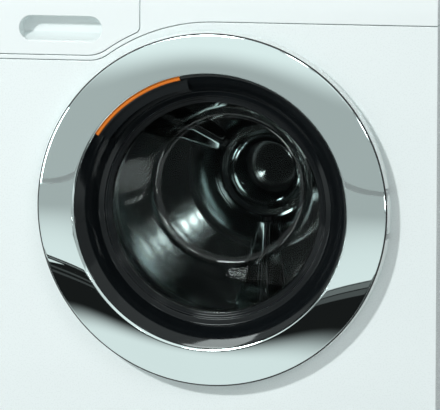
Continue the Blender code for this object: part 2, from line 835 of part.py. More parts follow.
def make_front_panel():
    bottom = PLINTH_TOP + SEAM
    outline = [(-HALF, bottom), (HALF, bottom)] + seam_curve(-SEAM)[::-1]
    back = PANEL_Y + RETURN
    panel = piece("front_panel", prism(outline, "Y", PANEL_Y, back), WHITE, 0.25, 0.0)
    cut(panel, prism(parallel(outline, SHEET, closed=True), "Y", PANEL_Y + SHEET, back + OVERRUN), "hollow")
    collar = [(PANEL_HOLE_R - SHEET, PANEL_Y + SHEET / 2), (PANEL_HOLE_R + SHEET, PANEL_Y + SHEET / 2),
              (PANEL_HOLE_R + SHEET, deep(PANEL_COLLAR)), (PANEL_HOLE_R - SHEET, deep(PANEL_COLLAR))]
    fuse(panel, turned(collar, TUB_STEPS, DOOR_CENTRE), "collar")
    holes = [bar((0, PANEL_Y - OVERRUN, DOOR_Z), (0, deep(PANEL_COLLAR) + OVERRUN, DOOR_Z),
                 PANEL_HOLE_R, TUB_STEPS)]
    catch_half = CATCH_THICK / 2 + CATCH_SLOT_PLAY
    holes.append(block((CATCH_X - catch_half, PANEL_Y - OVERRUN, DOOR_Z - CATCH_HALF - CATCH_SLOT_PLAY),
                       (CATCH_X + catch_half, PANEL_Y + OVERRUN,
                        DOOR_Z + CATCH_HALF + CATCH_NOSE + CATCH_SLOT_PLAY)))
    for low, high in lug_spans(LUG_PLAY):
        holes.append(block((LUG_ROOT_X - LUG_WIDE, PANEL_Y - OVERRUN, low),
                           (LUG_ROOT_X + LUG_WIDE, PANEL_Y + OVERRUN, high)))
    cut(panel, gathered(holes), "openings")
    return panel


def lug_spans(play):
    """Heights that the two hinge lugs take, each widened by a play."""
    near = BARREL_HALF + LUG_PLAY
    return [(DOOR_Z + near - play, DOOR_Z + near + LUG_THICK + play),
            (DOOR_Z - near - LUG_THICK - play, DOOR_Z - near + play)]


def drawer_outline(shrink):
    """Front view of the drawer's face, drawn in from its opening by a distance."""
    curve = seam_curve(DRAWER_MARGIN + shrink)
    right = DRAWER_RIGHT - shrink
    left = DRAWER_MARGIN - HALF + shrink
    top = CASE_TOP - DRAWER_TOP_MARGIN - shrink
    below = [point for point in curve if left < point[0] < right - DRAWER_CORNER]
    radius = SEAM_ARC_R + DRAWER_MARGIN + shrink
    corner_z = DOOR_Z + math.sqrt(radius ** 2 - right ** 2)
    corner = [(right, corner_z + DRAWER_CORNER)]
    return [(left, top), (left, curve[0][1])] + below + corner + [(right, top)]


def make_control_fascia():
    back = PANEL_Y + FASCIA_BACK
    fascia = piece("control_fascia", prism(side_outline(back, 0.0), "X", -HALF, HALF), WHITE, 0.3, 0.0)
    outline = [(-HALF, CASE_TOP + OVERRUN)] + seam_curve(0.0) + [(HALF, CASE_TOP + OVERRUN)]
    keep(fascia, prism(outline, "Y", PANEL_Y - OVERRUN, back + OVERRUN), "seam")
    inside = prism(side_outline(back + OVERRUN, FASCIA_WALL), "X", -HALF, HALF)
    hollow = piece("fascia_hollow", inside, GREY, 0.5, 0.0)
    inner = parallel([(-HALF, CASE_TOP)] + seam_curve(0.0) + [(HALF, CASE_TOP)], FASCIA_WALL, closed=True)
    keep(hollow, prism(inner, "Y", PANEL_Y, back + OVERRUN), "inner_seam")
    cut(fascia, shape_of(hollow), "hollow")
    fuse(fascia, control_posts(), "posts")
    holes = [prism(drawer_outline(0.0), "Y", PANEL_Y - OVERRUN, back + OVERRUN)]
    holes.append(slant_bar(KNOB_X, SHAFT_R + PLAY, -FASCIA_WALL - OVERRUN, OVERRUN))
    for x in (START_X, POWER_X):
        holes.append(slant_bar(x, BUTTON_R + PLAY, -FASCIA_WALL - OVERRUN, OVERRUN))
    half_wide, half_tall = DISPLAY_WIDE / 2, DISPLAY_TALL / 2
    ledge = FASCIA_WALL
    holes.append(on_slant(block((ledge - half_wide, ledge - half_tall, -FASCIA_WALL - OVERRUN),
                                (half_wide - ledge, half_tall - ledge, -LENS_THICK)), DISPLAY_X, CONTROL_Z))
    cut(fascia, gathered(holes), "openings")
    recess = block((-half_wide, -half_tall, -LENS_THICK - SEAT), (half_wide, half_tall, OVERRUN))
    cut(fascia, on_slant(recess, DISPLAY_X, CONTROL_Z), "lens_recess")
    return fascia


def slant_bar(x, radius, low, high, steps=SMALL_STEPS):
    return on_slant(bar((0, 0, low), (0, 0, high), radius, steps), x, CONTROL_Z)


def board_ends():
    """Left and right end of the control board."""
    return KNOB_X - KNOB_R, POWER_X + BUTTON_R + BUTTON_FLANGE + POST_R


def control_posts():
    left, right = board_ends()
    inset = POST_R + SEAM
    posts = []
    for x in (left + inset, right - inset):
        for up in (inset - BOARD_TALL / 2, BOARD_TALL / 2 - inset):
            foot = (x - DISPLAY_X, up, SEAT - BOARD_BACK)
            posts.append(on_slant(bar(foot, (x - DISPLAY_X, up, -FASCIA_WALL / 2), POST_R, SMALL_STEPS),
                                  DISPLAY_X, CONTROL_Z))
    return gathered(posts)


def make_display():
    half_wide, half_tall = DISPLAY_WIDE / 2 - SEAT, DISPLAY_TALL / 2 - SEAT
    lens = on_slant(block((-half_wide, -half_tall, -LENS_THICK), (half_wide, half_tall, 0.0)),
                    DISPLAY_X, CONTROL_Z)
    piece("display_lens", lens, BLACK, 0.08, 0.0)
    left, right = board_ends()
    board = piece("control_board",
                  on_slant(block((left - DISPLAY_X, -BOARD_TALL / 2, -BOARD_BACK - BOARD_THICK),
                                 (right - DISPLAY_X, BOARD_TALL / 2, -BOARD_BACK)), DISPLAY_X, CONTROL_Z),
                  BOARD_GREEN, 0.5, 0.0)
    screen = block((HOUSING_WALL - half_wide, HOUSING_WALL - half_tall, -BOARD_BACK - BOARD_THICK / 2),
                   (half_wide - HOUSING_WALL, half_tall - HOUSING_WALL, -LENS_THICK - FASCIA_WALL))
    fuse(board, on_slant(screen, DISPLAY_X, CONTROL_Z), "screen")
    return board


def make_knob(carrier):
    dish = KNOB_HIGH - SEAM
    profile = [(0.0, -BOARD_BACK + SEAT), (SHAFT_R, -BOARD_BACK + SEAT), (SHAFT_R, SEAT), (KNOB_R, SEAT),
               (KNOB_R, KNOB_SKIRT), (KNOB_R * 0.86, KNOB_SKIRT), (KNOB_R * 0.80, KNOB_HIGH - SEAM),
               (KNOB_R * 0.75, KNOB_HIGH), (KNOB_R * 0.6, dish), (0.0, dish)]
    knob = piece("selector_knob", on_slant(turned(profile, DRUM_STEPS, along="Z"), KNOB_X, CONTROL_Z),
                 BRIGHT, 0.25, 0.8, carrier)
    mark = block((-SEAM, KNOB_R * 0.35, KNOB_SKIRT + SEAM), (SEAM, KNOB_R * 0.9, KNOB_HIGH + OVERRUN))
    cut(knob, on_slant(mark, KNOB_X, CONTROL_Z), "pointer")
    return knob


def make_button(name, x, colour, carrier):
    flange_front = -FASCIA_WALL - SEAT
    flange_back = flange_front - BUTTON_FLANGE
    profile = [(0.0, flange_back), (BUTTON_R + BUTTON_FLANGE, flange_back),
               (BUTTON_R + BUTTON_FLANGE, flange_front), (BUTTON_R, flange_front),
               (BUTTON_R, BUTTON_PROUD - SEAM / 2), (BUTTON_R - SEAM, BUTTON_PROUD), (0.0, BUTTON_PROUD)]
    button = on_slant(turned(profile, MEDIUM_STEPS, along="Z"), x, CONTROL_Z)
    return piece(name, button, colour, 0.3, 0.0, carrier)


def make_plinth():
    front = PANEL_Y + PLINTH_BACKSET
    back = PANEL_Y + RETURN
    plinth = piece("plinth_panel", block((-HALF, front, CASE_BOTTOM), (HALF, back, PLINTH_TOP)),
                   WHITE, 0.35, 0.0)
    cut(plinth, block((PLINTH_WALL - HALF, front + PLINTH_WALL, CASE_BOTTOM + PLINTH_WALL),
                      (HALF - PLINTH_WALL, back + OVERRUN, PLINTH_TOP - PLINTH_WALL)), "hollow")
    ends = []
    y = flap_axis_y()
    for side in (-1, 1):
        near = PUMP_X + side * (FLAP_HALF_WIDE + FLAP_PLAY + SEAT)
        xs = sorted((near, near + side * FLAP_LUG))
        ends.append(block((xs[0], front + PLINTH_WALL / 2, FLAP_AXIS_Z - FLAP_LUG),
                          (xs[1], y + FLAP_LUG, FLAP_AXIS_Z + FLAP_LUG)))
    fuse(plinth, gathered(ends), "lugs")
    opening = rounded_box((PUMP_X - FLAP_HALF_WIDE - FLAP_PLAY, FLAP_LOW_Z - FLAP_PLAY),
                          (PUMP_X + FLAP_HALF_WIDE + FLAP_PLAY, FLAP_TOP_Z + FLAP_PLAY),
                          FLAP_CORNER - SEAM)
    reach = FLAP_HALF_WIDE + FLAP_PLAY + FLAP_LUG / 2
    cut(plinth, prism(opening, "Y", front - OVERRUN, front + PLINTH_WALL + SEAM), "flap_opening")
    cut(plinth, bar((PUMP_X - reach, y, FLAP_AXIS_Z), (PUMP_X + reach, y, FLAP_AXIS_Z),
                    FLAP_PIN_R + FLAP_PIN_PLAY), "pin_holes")
    return plinth


def flap_axis_y():
    return PANEL_Y + PLINTH_BACKSET + FLAP_THICK


def make_flap(carrier):
    front = PANEL_Y + PLINTH_BACKSET
    outline = rounded_box((PUMP_X - FLAP_HALF_WIDE, FLAP_LOW_Z),
                          (PUMP_X + FLAP_HALF_WIDE, FLAP_TOP_Z), FLAP_CORNER)
    flap = piece("service_flap", prism(outline, "Y", front, front + FLAP_THICK), WHITE, 0.35, 0.0, carrier)
    reach = FLAP_HALF_WIDE + FLAP_PLAY + FLAP_LUG / 2 - SEAT
    y = flap_axis_y()
    fuse(flap, bar((PUMP_X - reach, y, FLAP_AXIS_Z), (PUMP_X + reach, y, FLAP_AXIS_Z), FLAP_PIN_R), "pins")
    return flap


def pump_bar(low_depth, high_depth, radius, steps=MEDIUM_STEPS):
    return bar((PUMP_X, deep(low_depth), PUMP_Z), (PUMP_X, deep(high_depth), PUMP_Z), radius, steps)


def make_pump():
    body_end = PUMP_FRONT + PUMP_LONG
    pump = piece("drain_pump", pump_bar(PUMP_FRONT, body_end, PUMP_R), GREY, 0.5, 0.0)
    fuse(pump, pump_bar(body_end - OVERRUN, body_end + PUMP_MOTOR_LONG, PUMP_MOTOR_R), "motor")
    inlet_y = deep(PUMP_INLET_DEPTH)
    fuse(pump, bar((PUMP_INLET_X, inlet_y, PUMP_Z), (PUMP_X, inlet_y, PUMP_Z), HOSE_R), "inlet")
    floor = FOOT_HEIGHT + TRAY_WALL + SEAT
    fuse(pump, block((PUMP_X - PUMP_FOOT_HALF, deep(PUMP_FRONT + RETURN), floor),
                     (PUMP_X + PUMP_FOOT_HALF, deep(body_end), PUMP_Z)), "foot")
    cut(pump, pump_bar(PUMP_FRONT - OVERRUN, PUMP_FRONT + PUMP_BORE_DEEP, PUMP_BORE_R), "filter_chamber")
    return pump


def make_filter_cap(carrier):
    face = PUMP_FRONT - SEAT
    cap = piece("drain_filter_cap", pump_bar(face - CAP_THICK, face, CAP_R), DARK_GREY, 0.5, 0.0, carrier)
    fuse(cap, pump_bar(face - OVERRUN, face + STRAINER_LONG, STRAINER_R), "strainer")
    fuse(cap, block((PUMP_X - CAP_BAR_HALF, deep(face - CAP_THICK - CAP_BAR_HIGH), PUMP_Z - CAP_R * 0.8),
                    (PUMP_X + CAP_BAR_HALF, deep(face - CAP_THICK + SEAM), PUMP_Z + CAP_R * 0.8)), "grip")
    slots = []
    for share in (0.3, 0.55, 0.8):
        middle = face + STRAINER_LONG * share
        low, high = deep(middle - STRAINER_SLOT / 2), deep(middle + STRAINER_SLOT / 2)
        slots.append(block((PUMP_X - STRAINER_R - OVERRUN, low, PUMP_Z - CAP_BAR_HALF * 2),
                           (PUMP_X + STRAINER_R + OVERRUN, high, PUMP_Z + CAP_BAR_HALF * 2)))
    cut(cap, gathered(slots), "slots")
    return cap


def tray_sides():
    left = DRAWER_MARGIN - HALF + TRAY_INSET
    right = DRAWER_RIGHT - TRAY_INSET
    return left, right


def drawer_back_y():
    return PANEL_Y + DRAWER_FRONT_DEPTH


def make_dispenser_housing():
    left, right = tray_sides()
    play = HOUSING_PLAY
    front = PANEL_Y + FASCIA_BACK + SEAT
    back = drawer_back_y() + SEAT + TRAY_LENGTH + play + HOUSING_WALL
    low = TRAY_LOW_Z - play - HOUSING_WALL
    top = TRAY_LOW_Z + TRAY_TALL + play + HOUSING_WALL
    skin = play + HOUSING_WALL
    housing = piece("dispenser_housing", block((left - skin, front, low), (right + skin, back, top)),
                    GREY, 0.5, 0.0)
    x, y = SPOUT_X, deep(SPOUT_DEPTH)
    fuse(housing, bar((x, y, low - SPOUT_LONG), (x, y, low + SEAM), SPOUT_R, MEDIUM_STEPS), "spout")
    cut(housing, block((left - play, front - OVERRUN, TRAY_LOW_Z - play),
                       (right + play, back - HOUSING_WALL, top - HOUSING_WALL)), "hollow")
    cut(housing, bar((x, y, low - SPOUT_LONG - OVERRUN), (x, y, low + OVERRUN), SPOUT_BORE_R), "spout_bore")
    return housing


def make_drawer(carrier):
    back = drawer_back_y()
    left, right = tray_sides()
    front = piece("drawer_front", prism(side_outline(back, 0.0), "X", -HALF, DRAWER_RIGHT),
                  WHITE, 0.3, 0.0, carrier)
    keep(front, prism(drawer_outline(SEAM), "Y", PANEL_Y - OVERRUN, back + OVERRUN), "outline")
    inside = prism(side_outline(back + OVERRUN, DRAWER_WALL), "X", -HALF, DRAWER_RIGHT)
    hollow = piece("drawer_hollow", inside, GREY, 0.5, 0.0)
    keep(hollow, prism(drawer_outline(SEAM + DRAWER_WALL), "Y", PANEL_Y, back + OVERRUN), "inner")
    cut(front, shape_of(hollow), "hollow")
    ribs = []
    for share in (0.2, 0.8):
        x = left + (right - left) * share
        ribs.append(block((x - DRAWER_WALL / 2, PANEL_Y + DRAWER_WALL * 2, TRAY_LOW_Z + DRAWER_CORNER * 2),
                          (x + DRAWER_WALL / 2, back, TRAY_LOW_Z + TRAY_TALL - DRAWER_CORNER)))
    fuse(front, trimmed_to_drawer(gathered(ribs)), "ribs")
    fuse(front, prism(stadium(DRAWER_WALL), "Y", PANEL_Y + DRAWER_WALL / 2,
                      PANEL_Y + GRIP_DEPTH + DRAWER_WALL), "grip_wall")
    cut(front, grip_hollow(), "grip")
    make_drawer_tray(carrier)
    return front


def trimmed_to_drawer(ribs):
    """Ribs cut off where the drawer's slanted face passes through them."""
    holder = piece("ribs", ribs, GREY, 0.5, 0.0)
    keep(holder, prism(side_outline(drawer_back_y(), DRAWER_WALL / 2), "X", -HALF, DRAWER_RIGHT), "slant")
    return shape_of(holder)


def stadium(grow):
    """Front view of the finger recess, grown by a distance."""
    radius = GRIP_TALL / 2 + grow
    reach = (GRIP_WIDE - GRIP_TALL) / 2
    return (arc((GRIP_CENTRE_X + reach, GRIP_CENTRE_Z), radius, -90, 90, 8)
            + arc((GRIP_CENTRE_X - reach, GRIP_CENTRE_Z), radius, 90, 270, 8))


def grip_hollow():
    """The finger recess, whose floor climbs towards its back."""
    hollow = prism(stadium(0.0), "Y", PANEL_Y - OVERRUN, PANEL_Y + GRIP_DEPTH)
    low = Vector((0, PANEL_Y, GRIP_CENTRE_Z - GRIP_TALL / 2))
    slope = Vector((0, GRIP_DEPTH, GRIP_LEDGE))
    below = Vector((0, slope.z, -slope.y)).normalized()
    geometry = list(hollow.verts) + list(hollow.edges) + list(hollow.faces)
    bmesh.ops.bisect_plane(hollow, geom=geometry, plane_co=low, plane_no=below, clear_outer=True)
    bmesh.ops.holes_fill(hollow, edges=hollow.edges, sides=0)
    return hollow


def make_drawer_tray(carrier):
    left, right = tray_sides()
    front = drawer_back_y() + SEAT
    back = front + TRAY_LENGTH
    top = TRAY_LOW_Z + TRAY_TALL
    tray = piece("drawer_tray", block((left, front, TRAY_LOW_Z), (right, back, top)),
                 SILVER, 0.5, 0.0, carrier)
    pockets = []
    for low_share, high_share in ((0.0, 0.36), (0.36, 0.64), (0.64, 1.0)):
        wide = right - left - TRAY_SKIN
        low = (left + TRAY_SKIN + wide * low_share, front + TRAY_SKIN, TRAY_LOW_Z + TRAY_SKIN)
        pockets.append(block(low, (left + wide * high_share, back - TRAY_SKIN, top + OVERRUN)))
    cut(tray, gathered(pockets), "pockets")
    middle = left + (right - left) / 2
    floor = TRAY_LOW_Z + TRAY_SKIN + SEAT
    siphon_back = back - TRAY_SKIN - SEAT
    cap = piece("drawer_siphon", block((middle - SIPHON_WIDE / 2, siphon_back - SIPHON_WIDE, floor),
                                       (middle + SIPHON_WIDE / 2, siphon_back, floor + SIPHON_TALL)),
                (0.05, 0.20, 0.45, 1.0), 0.4, 0.0, carrier)
    edge = cap.modifiers.new("edge", "BEVEL")
    edge.width = SEAM * 3
    return tray


def door_turned(path, wall, name, look, carrier, steps=DOOR_STEPS):
    outline = [(radius, deep(depth)) for radius, depth in strip(path, wall)]
    return piece(name, turned(outline, steps, DOOR_CENTRE), *look, carrier)


def make_door_ring(carrier):
    """Dished ring: an outer hem, a face that rises towards the throat, and a rolled inner lip."""
    lip_centre = (LIP_R, LIP_FILLET - DOOR_PROUD)
    lip = arc(lip_centre, LIP_FILLET, 180, 270, 2)
    slope_end = (RING_R, -RING_EDGE)
    crest = ((lip[-1][0] + RING_R) / 2, (lip[-1][1] - RING_EDGE) / 2 - FACE_BULGE)
    path = [(lip[0][0], lip[0][1] + LIP_RETURN)] + lip + [crest, slope_end, (RING_R, RING_HEM - RING_EDGE)]
    return door_turned(path, RING_WALL, "door_ring", (BRIGHT, 0.22, 0.95), carrier)


def bezel_top():
    """Radius and depth at which the bezel meets the ring's lip."""
    return LIP_R - LIP_FILLET, LIP_FILLET + LIP_RETURN + SEAT - DOOR_PROUD


def make_door_bezel(carrier):
    path = [(STEP_R, GLASS_FRONT - SEAT), (STEP_R, STEP_DEPTH), (THROAT_R, THROAT_DEPTH),
            (BELL_R, BELL_DEPTH), bezel_top()]
    bezel = door_turned(path, BEZEL_WALL, "door_bezel", (BLACK, 0.12, 0.0), carrier)
    fuse(bezel, finger_sector(BEZEL_WALL, THROAT_R + BEZEL_WALL * 3), "finger_box")
    cut(bezel, finger_sector(0.0, THROAT_R - OVERRUN), "finger_hollow")
    return bezel


def finger_sector(grow, inner):
    """The space behind the ring's lip for the fingers that pull the door."""
    outer = FINGER_R + grow
    front = -FINGER_FRONT - grow
    back = -FINGER_BACK + grow
    turn = grow / THROAT_R
    profile = [(inner, deep(front)), (outer, deep(front)), (outer, deep(back)), (inner, deep(back))]
    return turned(profile, 12, DOOR_CENTRE, start=FINGER_START - turn, sweep=FINGER_SWEEP + 2 * turn)


def make_grip_accent(carrier):
    radius, depth = bezel_top()
    outer = radius * math.cos(math.pi / DOOR_STEPS) - SEAT
    front = depth - SEAT
    profile = [(outer - ACCENT_WIDE, deep(front)), (outer - ACCENT_WIDE / 2, deep(front - ACCENT_TALL)),
               (outer, deep(front - ACCENT_TALL)), (outer, deep(front))]
    return piece("grip_accent", turned(profile, 14, DOOR_CENTRE, start=ACCENT_START, sweep=ACCENT_SWEEP),
                 ORANGE, 0.35, 0.0, carrier)


def make_door_glass(carrier):
    """Bowl-shaped window with a flat clamping flange. The bowl's end sits above the door's centre."""
    fillet = arc((BOWL_R - BOWL_FILLET, BOWL_DEPTH - BOWL_FILLET), BOWL_FILLET, 90, 10, 2)
    flange_r = COLLAR_R - FRAME_WALL - SEAT
    path = [(0.0, BOWL_DEPTH)] + fillet + [(GLASS_R, GLASS_FRONT), (flange_r, GLASS_FRONT)]
    glass = door_turned(path, GLASS_WALL, "door_glass", (GLASS_TINT, 0.03, 0.0), carrier)
    behind_flange = GLASS_FRONT + GLASS_WALL
    for vert in glass.data.vertices:
        depth = vert.co.y + carrier.matrix_world.translation.y - PANEL_Y
        share = (depth - behind_flange) / (BOWL_DEPTH - behind_flange)
        vert.co.z += BOWL_RISE * min(1.0, max(0.0, share))
    return glass


def make_door_back_frame(carrier):
    """Pan behind the ring: outer rim, rear wall, and the collar that clamps the glass."""
    shoulder = RIM_R - RIM_BEVEL
    path = [(RING_R + SEAT, -RING_EDGE), (shoulder, -RING_EDGE), (RIM_R, -RIM_FRONT),
            (RIM_R, -DOOR_CLEAR - RIM_CHAMFER), (RIM_R - RIM_CHAMFER_R, -DOOR_CLEAR),
            (COLLAR_R, -DOOR_CLEAR), (COLLAR_R, COLLAR_DEPTH), (KEEPER_R, COLLAR_DEPTH)]
    frame = door_turned(path, FRAME_WALL, "door_back_frame", (SILVER, 0.3, 0.0), carrier)
    slots = []
    for low, high in lug_spans(LUG_PLAY - SEAT):
        slots.append(block((LUG_ROOT_X - LUG_WIDE * 0.9, deep(-RIM_FRONT - SEAM), low),
                           (RIM_R + OVERRUN, deep(OVERRUN), high)))
    half = CATCH_THICK / 2 + SEAT
    slots.append(block((CATCH_X - half, deep(-FRAME_WALL - OVERRUN), DOOR_Z - CATCH_HALF - SEAT),
                       (CATCH_X + half, deep(OVERRUN), DOOR_Z + CATCH_HALF + SEAT)))
    cut(frame, gathered(slots), "slots")
    return frame


def make_hinge_arm(carrier):
    rear = -DOOR_CLEAR - FRAME_WALL - SEAT
    mid = HINGE_DEPTH + ARM_THICK / 2
    path = [(HINGE_X, deep(mid)), (ARM_RISE_X, deep(mid)), (ARM_BEND_X, deep(rear)),
            (ARM_END_X, deep(rear))]
    low, high = DOOR_Z - BARREL_HALF, DOOR_Z + BARREL_HALF
    arm = piece("door_hinge_arm", prism(strip(path, ARM_THICK), "Z", low, high), STEEL, 0.35, 0.9, carrier)
    y = deep(HINGE_DEPTH)
    fuse(arm, bar((HINGE_X, y, low), (HINGE_X, y, high), KNUCKLE_R), "barrel")
    cut(arm, bar((HINGE_X, y, low - OVERRUN), (HINGE_X, y, high + OVERRUN), PIN_R + PIN_PLAY), "bore")
    return arm


def make_hinge_bracket():
    """Plate behind the panel, with two goose-necked lugs and the pin between them."""
    front = deep(SHEET + SEAT)
    axis_y = deep(HINGE_DEPTH)
    plate_left = LUG_ROOT_X + LUG_WIDE / 2 + SEAM * 2 - HINGE_PLATE_WIDE
    plate = piece("hinge_bracket", block((plate_left, front, DOOR_Z - HINGE_PLATE_HALF),
                                         (plate_left + HINGE_PLATE_WIDE, front + HINGE_PLATE,
                                          DOOR_Z + HINGE_PLATE_HALF)), STEEL, 0.35, 0.9)
    run = (Vector((HINGE_X, axis_y)) - Vector((LUG_ROOT_X, front))).normalized()
    aside = Vector((-run.y, run.x)) * (LUG_WIDE / 2)
    head = Vector((HINGE_X, axis_y))
    half_root = LUG_WIDE / 2
    root_y = front + HINGE_PLATE / 2
    outline = [(LUG_ROOT_X - half_root, root_y), tuple(head - aside), tuple(head + aside),
               (LUG_ROOT_X + half_root, root_y)]
    for index, (low, high) in enumerate(lug_spans(0.0)):
        fuse(plate, prism(outline, "Z", low, high), f"lug_{index}")
        fuse(plate, bar((HINGE_X, axis_y, low), (HINGE_X, axis_y, high), KNUCKLE_R), f"knuckle_{index}")
    reach = BARREL_HALF + LUG_PLAY + LUG_THICK / 2
    fuse(plate, bar((HINGE_X, axis_y, DOOR_Z - reach), (HINGE_X, axis_y, DOOR_Z + reach), PIN_R), "pin")
    return plate


def make_catch(carrier):
    """Hook that reaches through the panel into the lock."""
    foot_back = -DOOR_CLEAR - FRAME_WALL - SEAT
    foot = deep(foot_back - CATCH_FOOT)
    tip = deep(CATCH_REACH)
    nose = deep(CATCH_REACH - CATCH_NOSE_LONG)
    top = DOOR_Z + CATCH_HALF
    outline = [(foot, DOOR_Z - CATCH_HALF), (tip, DOOR_Z - CATCH_HALF), (tip, top),
               (nose + SEAM, top + CATCH_NOSE), (nose, top + CATCH_NOSE), (nose, top - SEAM * 2),
               (deep(SHEET), top), (foot, top)]
    half = CATCH_THICK / 2
    catch = piece("door_catch", prism(outline, "X", CATCH_X - half, CATCH_X + half),
                  STEEL, 0.3, 0.9, carrier)
    wide = CATCH_HALF * 2
    fuse(catch, block((CATCH_X - wide, foot, DOOR_Z - wide),
                      (CATCH_X + wide, deep(foot_back), DOOR_Z + wide)), "foot")
    return catch


def make_door_lock():
    front = deep(SHEET + SEAT)
    lock = piece("door_lock", block((CATCH_X - LOCK_HALF_WIDE, front, DOOR_Z - LOCK_HALF_TALL),
                                    (CATCH_X + LOCK_HALF_WIDE, deep(LOCK_DEEP), DOOR_Z + LOCK_HALF_TALL)),
                 DARK_GREY, 0.5, 0.0)
    half = CATCH_THICK / 2 + CATCH_SLOT_PLAY
    cut(lock, block((CATCH_X - half, front - OVERRUN, DOOR_Z - CATCH_HALF - CATCH_SLOT_PLAY),
                    (CATCH_X + half, deep(LOCK_DEEP - LOCK_WALL),
                     DOOR_Z + CATCH_HALF + CATCH_NOSE + CATCH_SLOT_PLAY)), "mouth")
    return lock


def make_gasket():
    """Rubber bellows from the panel's collar to the tub, with a lip that meets the glass."""
    bead_r = PANEL_HOLE_R + SHEET + SEAT + GASKET_WALL
    tub_r = TUB_COLLAR_R + SEAT + GASKET_WALL
    lip = GASKET_LIP_DEPTH
    path = [(bead_r, SHEET + SEAM), (bead_r, PANEL_COLLAR + SEAT + GASKET_WALL),
            (PANEL_HOLE_R - RETURN / 4, lip - GASKET_WALL), (GASKET_LIP_R, lip - SEAM),
            (GASKET_LIP_R, lip + SEAM),
            (tub_r - SEAM, lip + GASKET_WALL * 2), (tub_r, FOLD_DEPTH - FOLD_HALF - SEAM),
            (FOLD_R - GASKET_WALL, FOLD_DEPTH - FOLD_HALF), (FOLD_R, FOLD_DEPTH),
            (FOLD_R - GASKET_WALL, FOLD_DEPTH + FOLD_HALF), (tub_r, TUB_COLLAR_FRONT + SEAM),
            (tub_r, TUB_FRONT - SEAM)]
    return door_turned(path, GASKET_WALL, "door_gasket", (PALE_RUBBER, 0.7, 0.0), None, TUB_STEPS)


def make_tub_front(carrier):
    corner = TUB_R - TUB_CORNER
    seam = TUB_SEAM - SEAT / 2
    flange = TUB_R + TUB_FLANGE
    path = [(TUB_COLLAR_R, TUB_COLLAR_FRONT), (TUB_COLLAR_R, TUB_FRONT), (corner, TUB_FRONT + TUB_SHOULDER),
            (TUB_R, TUB_FRONT + TUB_SHOULDER + TUB_CORNER), (TUB_R, TUB_SEAM - TUB_FLANGE_DEEP),
            (flange, TUB_SEAM - TUB_FLANGE_DEEP), (flange, seam)]
    tub = door_turned(path, TUB_WALL, "tub_front_shell", (GREY, 0.55, 0.0), carrier, TUB_STEPS)
    x, y = SPOUT_X, deep(SPOUT_DEPTH)
    fuse(tub, bar((x, y, SPOUT_TUB_Z), (x, y, SPOUT_TIP_Z), SPOUT_R, MEDIUM_STEPS), "spout")
    cut(tub, bar((x, y, SPOUT_TUB_Z - SPOUT_LONG * 2), (x, y, SPOUT_TIP_Z + OVERRUN), SPOUT_BORE_R),
        "spout_bore")
    return tub


def make_tub_rear(carrier):
    corner = TUB_R - TUB_CORNER
    flange = TUB_R + TUB_FLANGE
    after = TUB_SEAM + TUB_FLANGE_DEEP
    path = [(flange, TUB_SEAM + SEAT / 2), (flange, after), (TUB_R, after), (TUB_R, TUB_BACK - TUB_CORNER),
            (corner, TUB_BACK), (HUB_R, TUB_BACK), (HUB_R, HUB_BACK), (AXLE_R * 2, HUB_BACK)]
    tub = door_turned(path, TUB_WALL, "tub_rear_shell", (GREY, 0.55, 0.0), carrier, TUB_STEPS)
    front, back = deep(WELL_FRONT), deep(WELL_FRONT + WELL_LONG)
    under = DOOR_Z - TUB_R
    fuse(tub, block((-WELL_HALF, front, WELL_Z), (WELL_HALF, back, under + TUB_WALL * 2)), "well")
    y = deep(OUTLET_DEPTH)
    fuse(tub, bar((0, y, WELL_Z - OUTLET_LONG), (0, y, WELL_Z + SEAM), OUTLET_R, MEDIUM_STEPS), "outlet")
    cut(tub, block((TUB_WALL - WELL_HALF, front + TUB_WALL, WELL_Z + TUB_WALL),
                   (WELL_HALF - TUB_WALL, back - TUB_WALL, under + TUB_WALL * 4)), "well_hollow")
    cut(tub, bar((0, y, WELL_Z - OUTLET_LONG - OVERRUN), (0, y, WELL_Z + OVERRUN), OUTLET_BORE),
        "outlet_bore")
    half_tall = HEATER_WINDOW_TALL / 2
    cut(tub, block((-HEATER_WINDOW_HALF, back - TUB_WALL - OVERRUN, HEATER_Z - half_tall),
                   (HEATER_WINDOW_HALF, back + OVERRUN, HEATER_Z + half_tall)), "heater_window")
    for side, label in ((-1, "left"), (1, "right")):
        top = spring_lug_hole() + SPRING_HOLE_R + SPRING_LUG_MARGIN - SEAT
        plate = spring_plate(side, tub_wall_z(SPRING_X + SPRING_LUG_THICK, 1), top, spring_lug_hole())
        fuse(tub, outside_tub(plate), "spring_lug_" + label)
        root_z = tub_wall_z(DAMPER_HEAD_X + EAR_HALF, -1)
        lug = outside_tub(damper_ears(side * DAMPER_HEAD_X, DAMPER_HEAD_Z, root_z))
        fuse(tub, lug, "damper_lug_" + label)
    ears = []
    for side in (-1, 1):
        x = MOTOR_X + side * MOTOR_EAR_REACH
        ears.append(block((x - MOTOR_EAR_HALF, deep(MOTOR_EAR_FRONT), MOTOR_EAR_Z + SEAT),
                          (x + MOTOR_EAR_HALF, deep(MOTOR_EAR_FRONT + MOTOR_EAR_LONG),
                           tub_wall_z(x + MOTOR_EAR_HALF, -1))))
    fuse(tub, outside_tub(gathered(ears)), "motor_lugs")
    return tub


def outside_tub(shape):
    """A lug cut off at the middle of the tub's wall."""
    holder = piece("lug", shape, GREY, 0.5, 0.0)
    middle = deep(TUB_BACK) / 2 + deep(TUB_FRONT) / 2
    reach = TUB_BACK - TUB_FRONT
    radius = TUB_R - TUB_WALL / 2
    cut(holder, bar((0, middle - reach, DOOR_Z), (0, middle + reach, DOOR_Z), radius, TUB_STEPS), "tub")
    return shape_of(holder)


def spring_lug_hole():
    return SPRING_LOW_Z - (SPRING_HOLE_R - SPRING_WIRE_R - HOOK_PLAY)


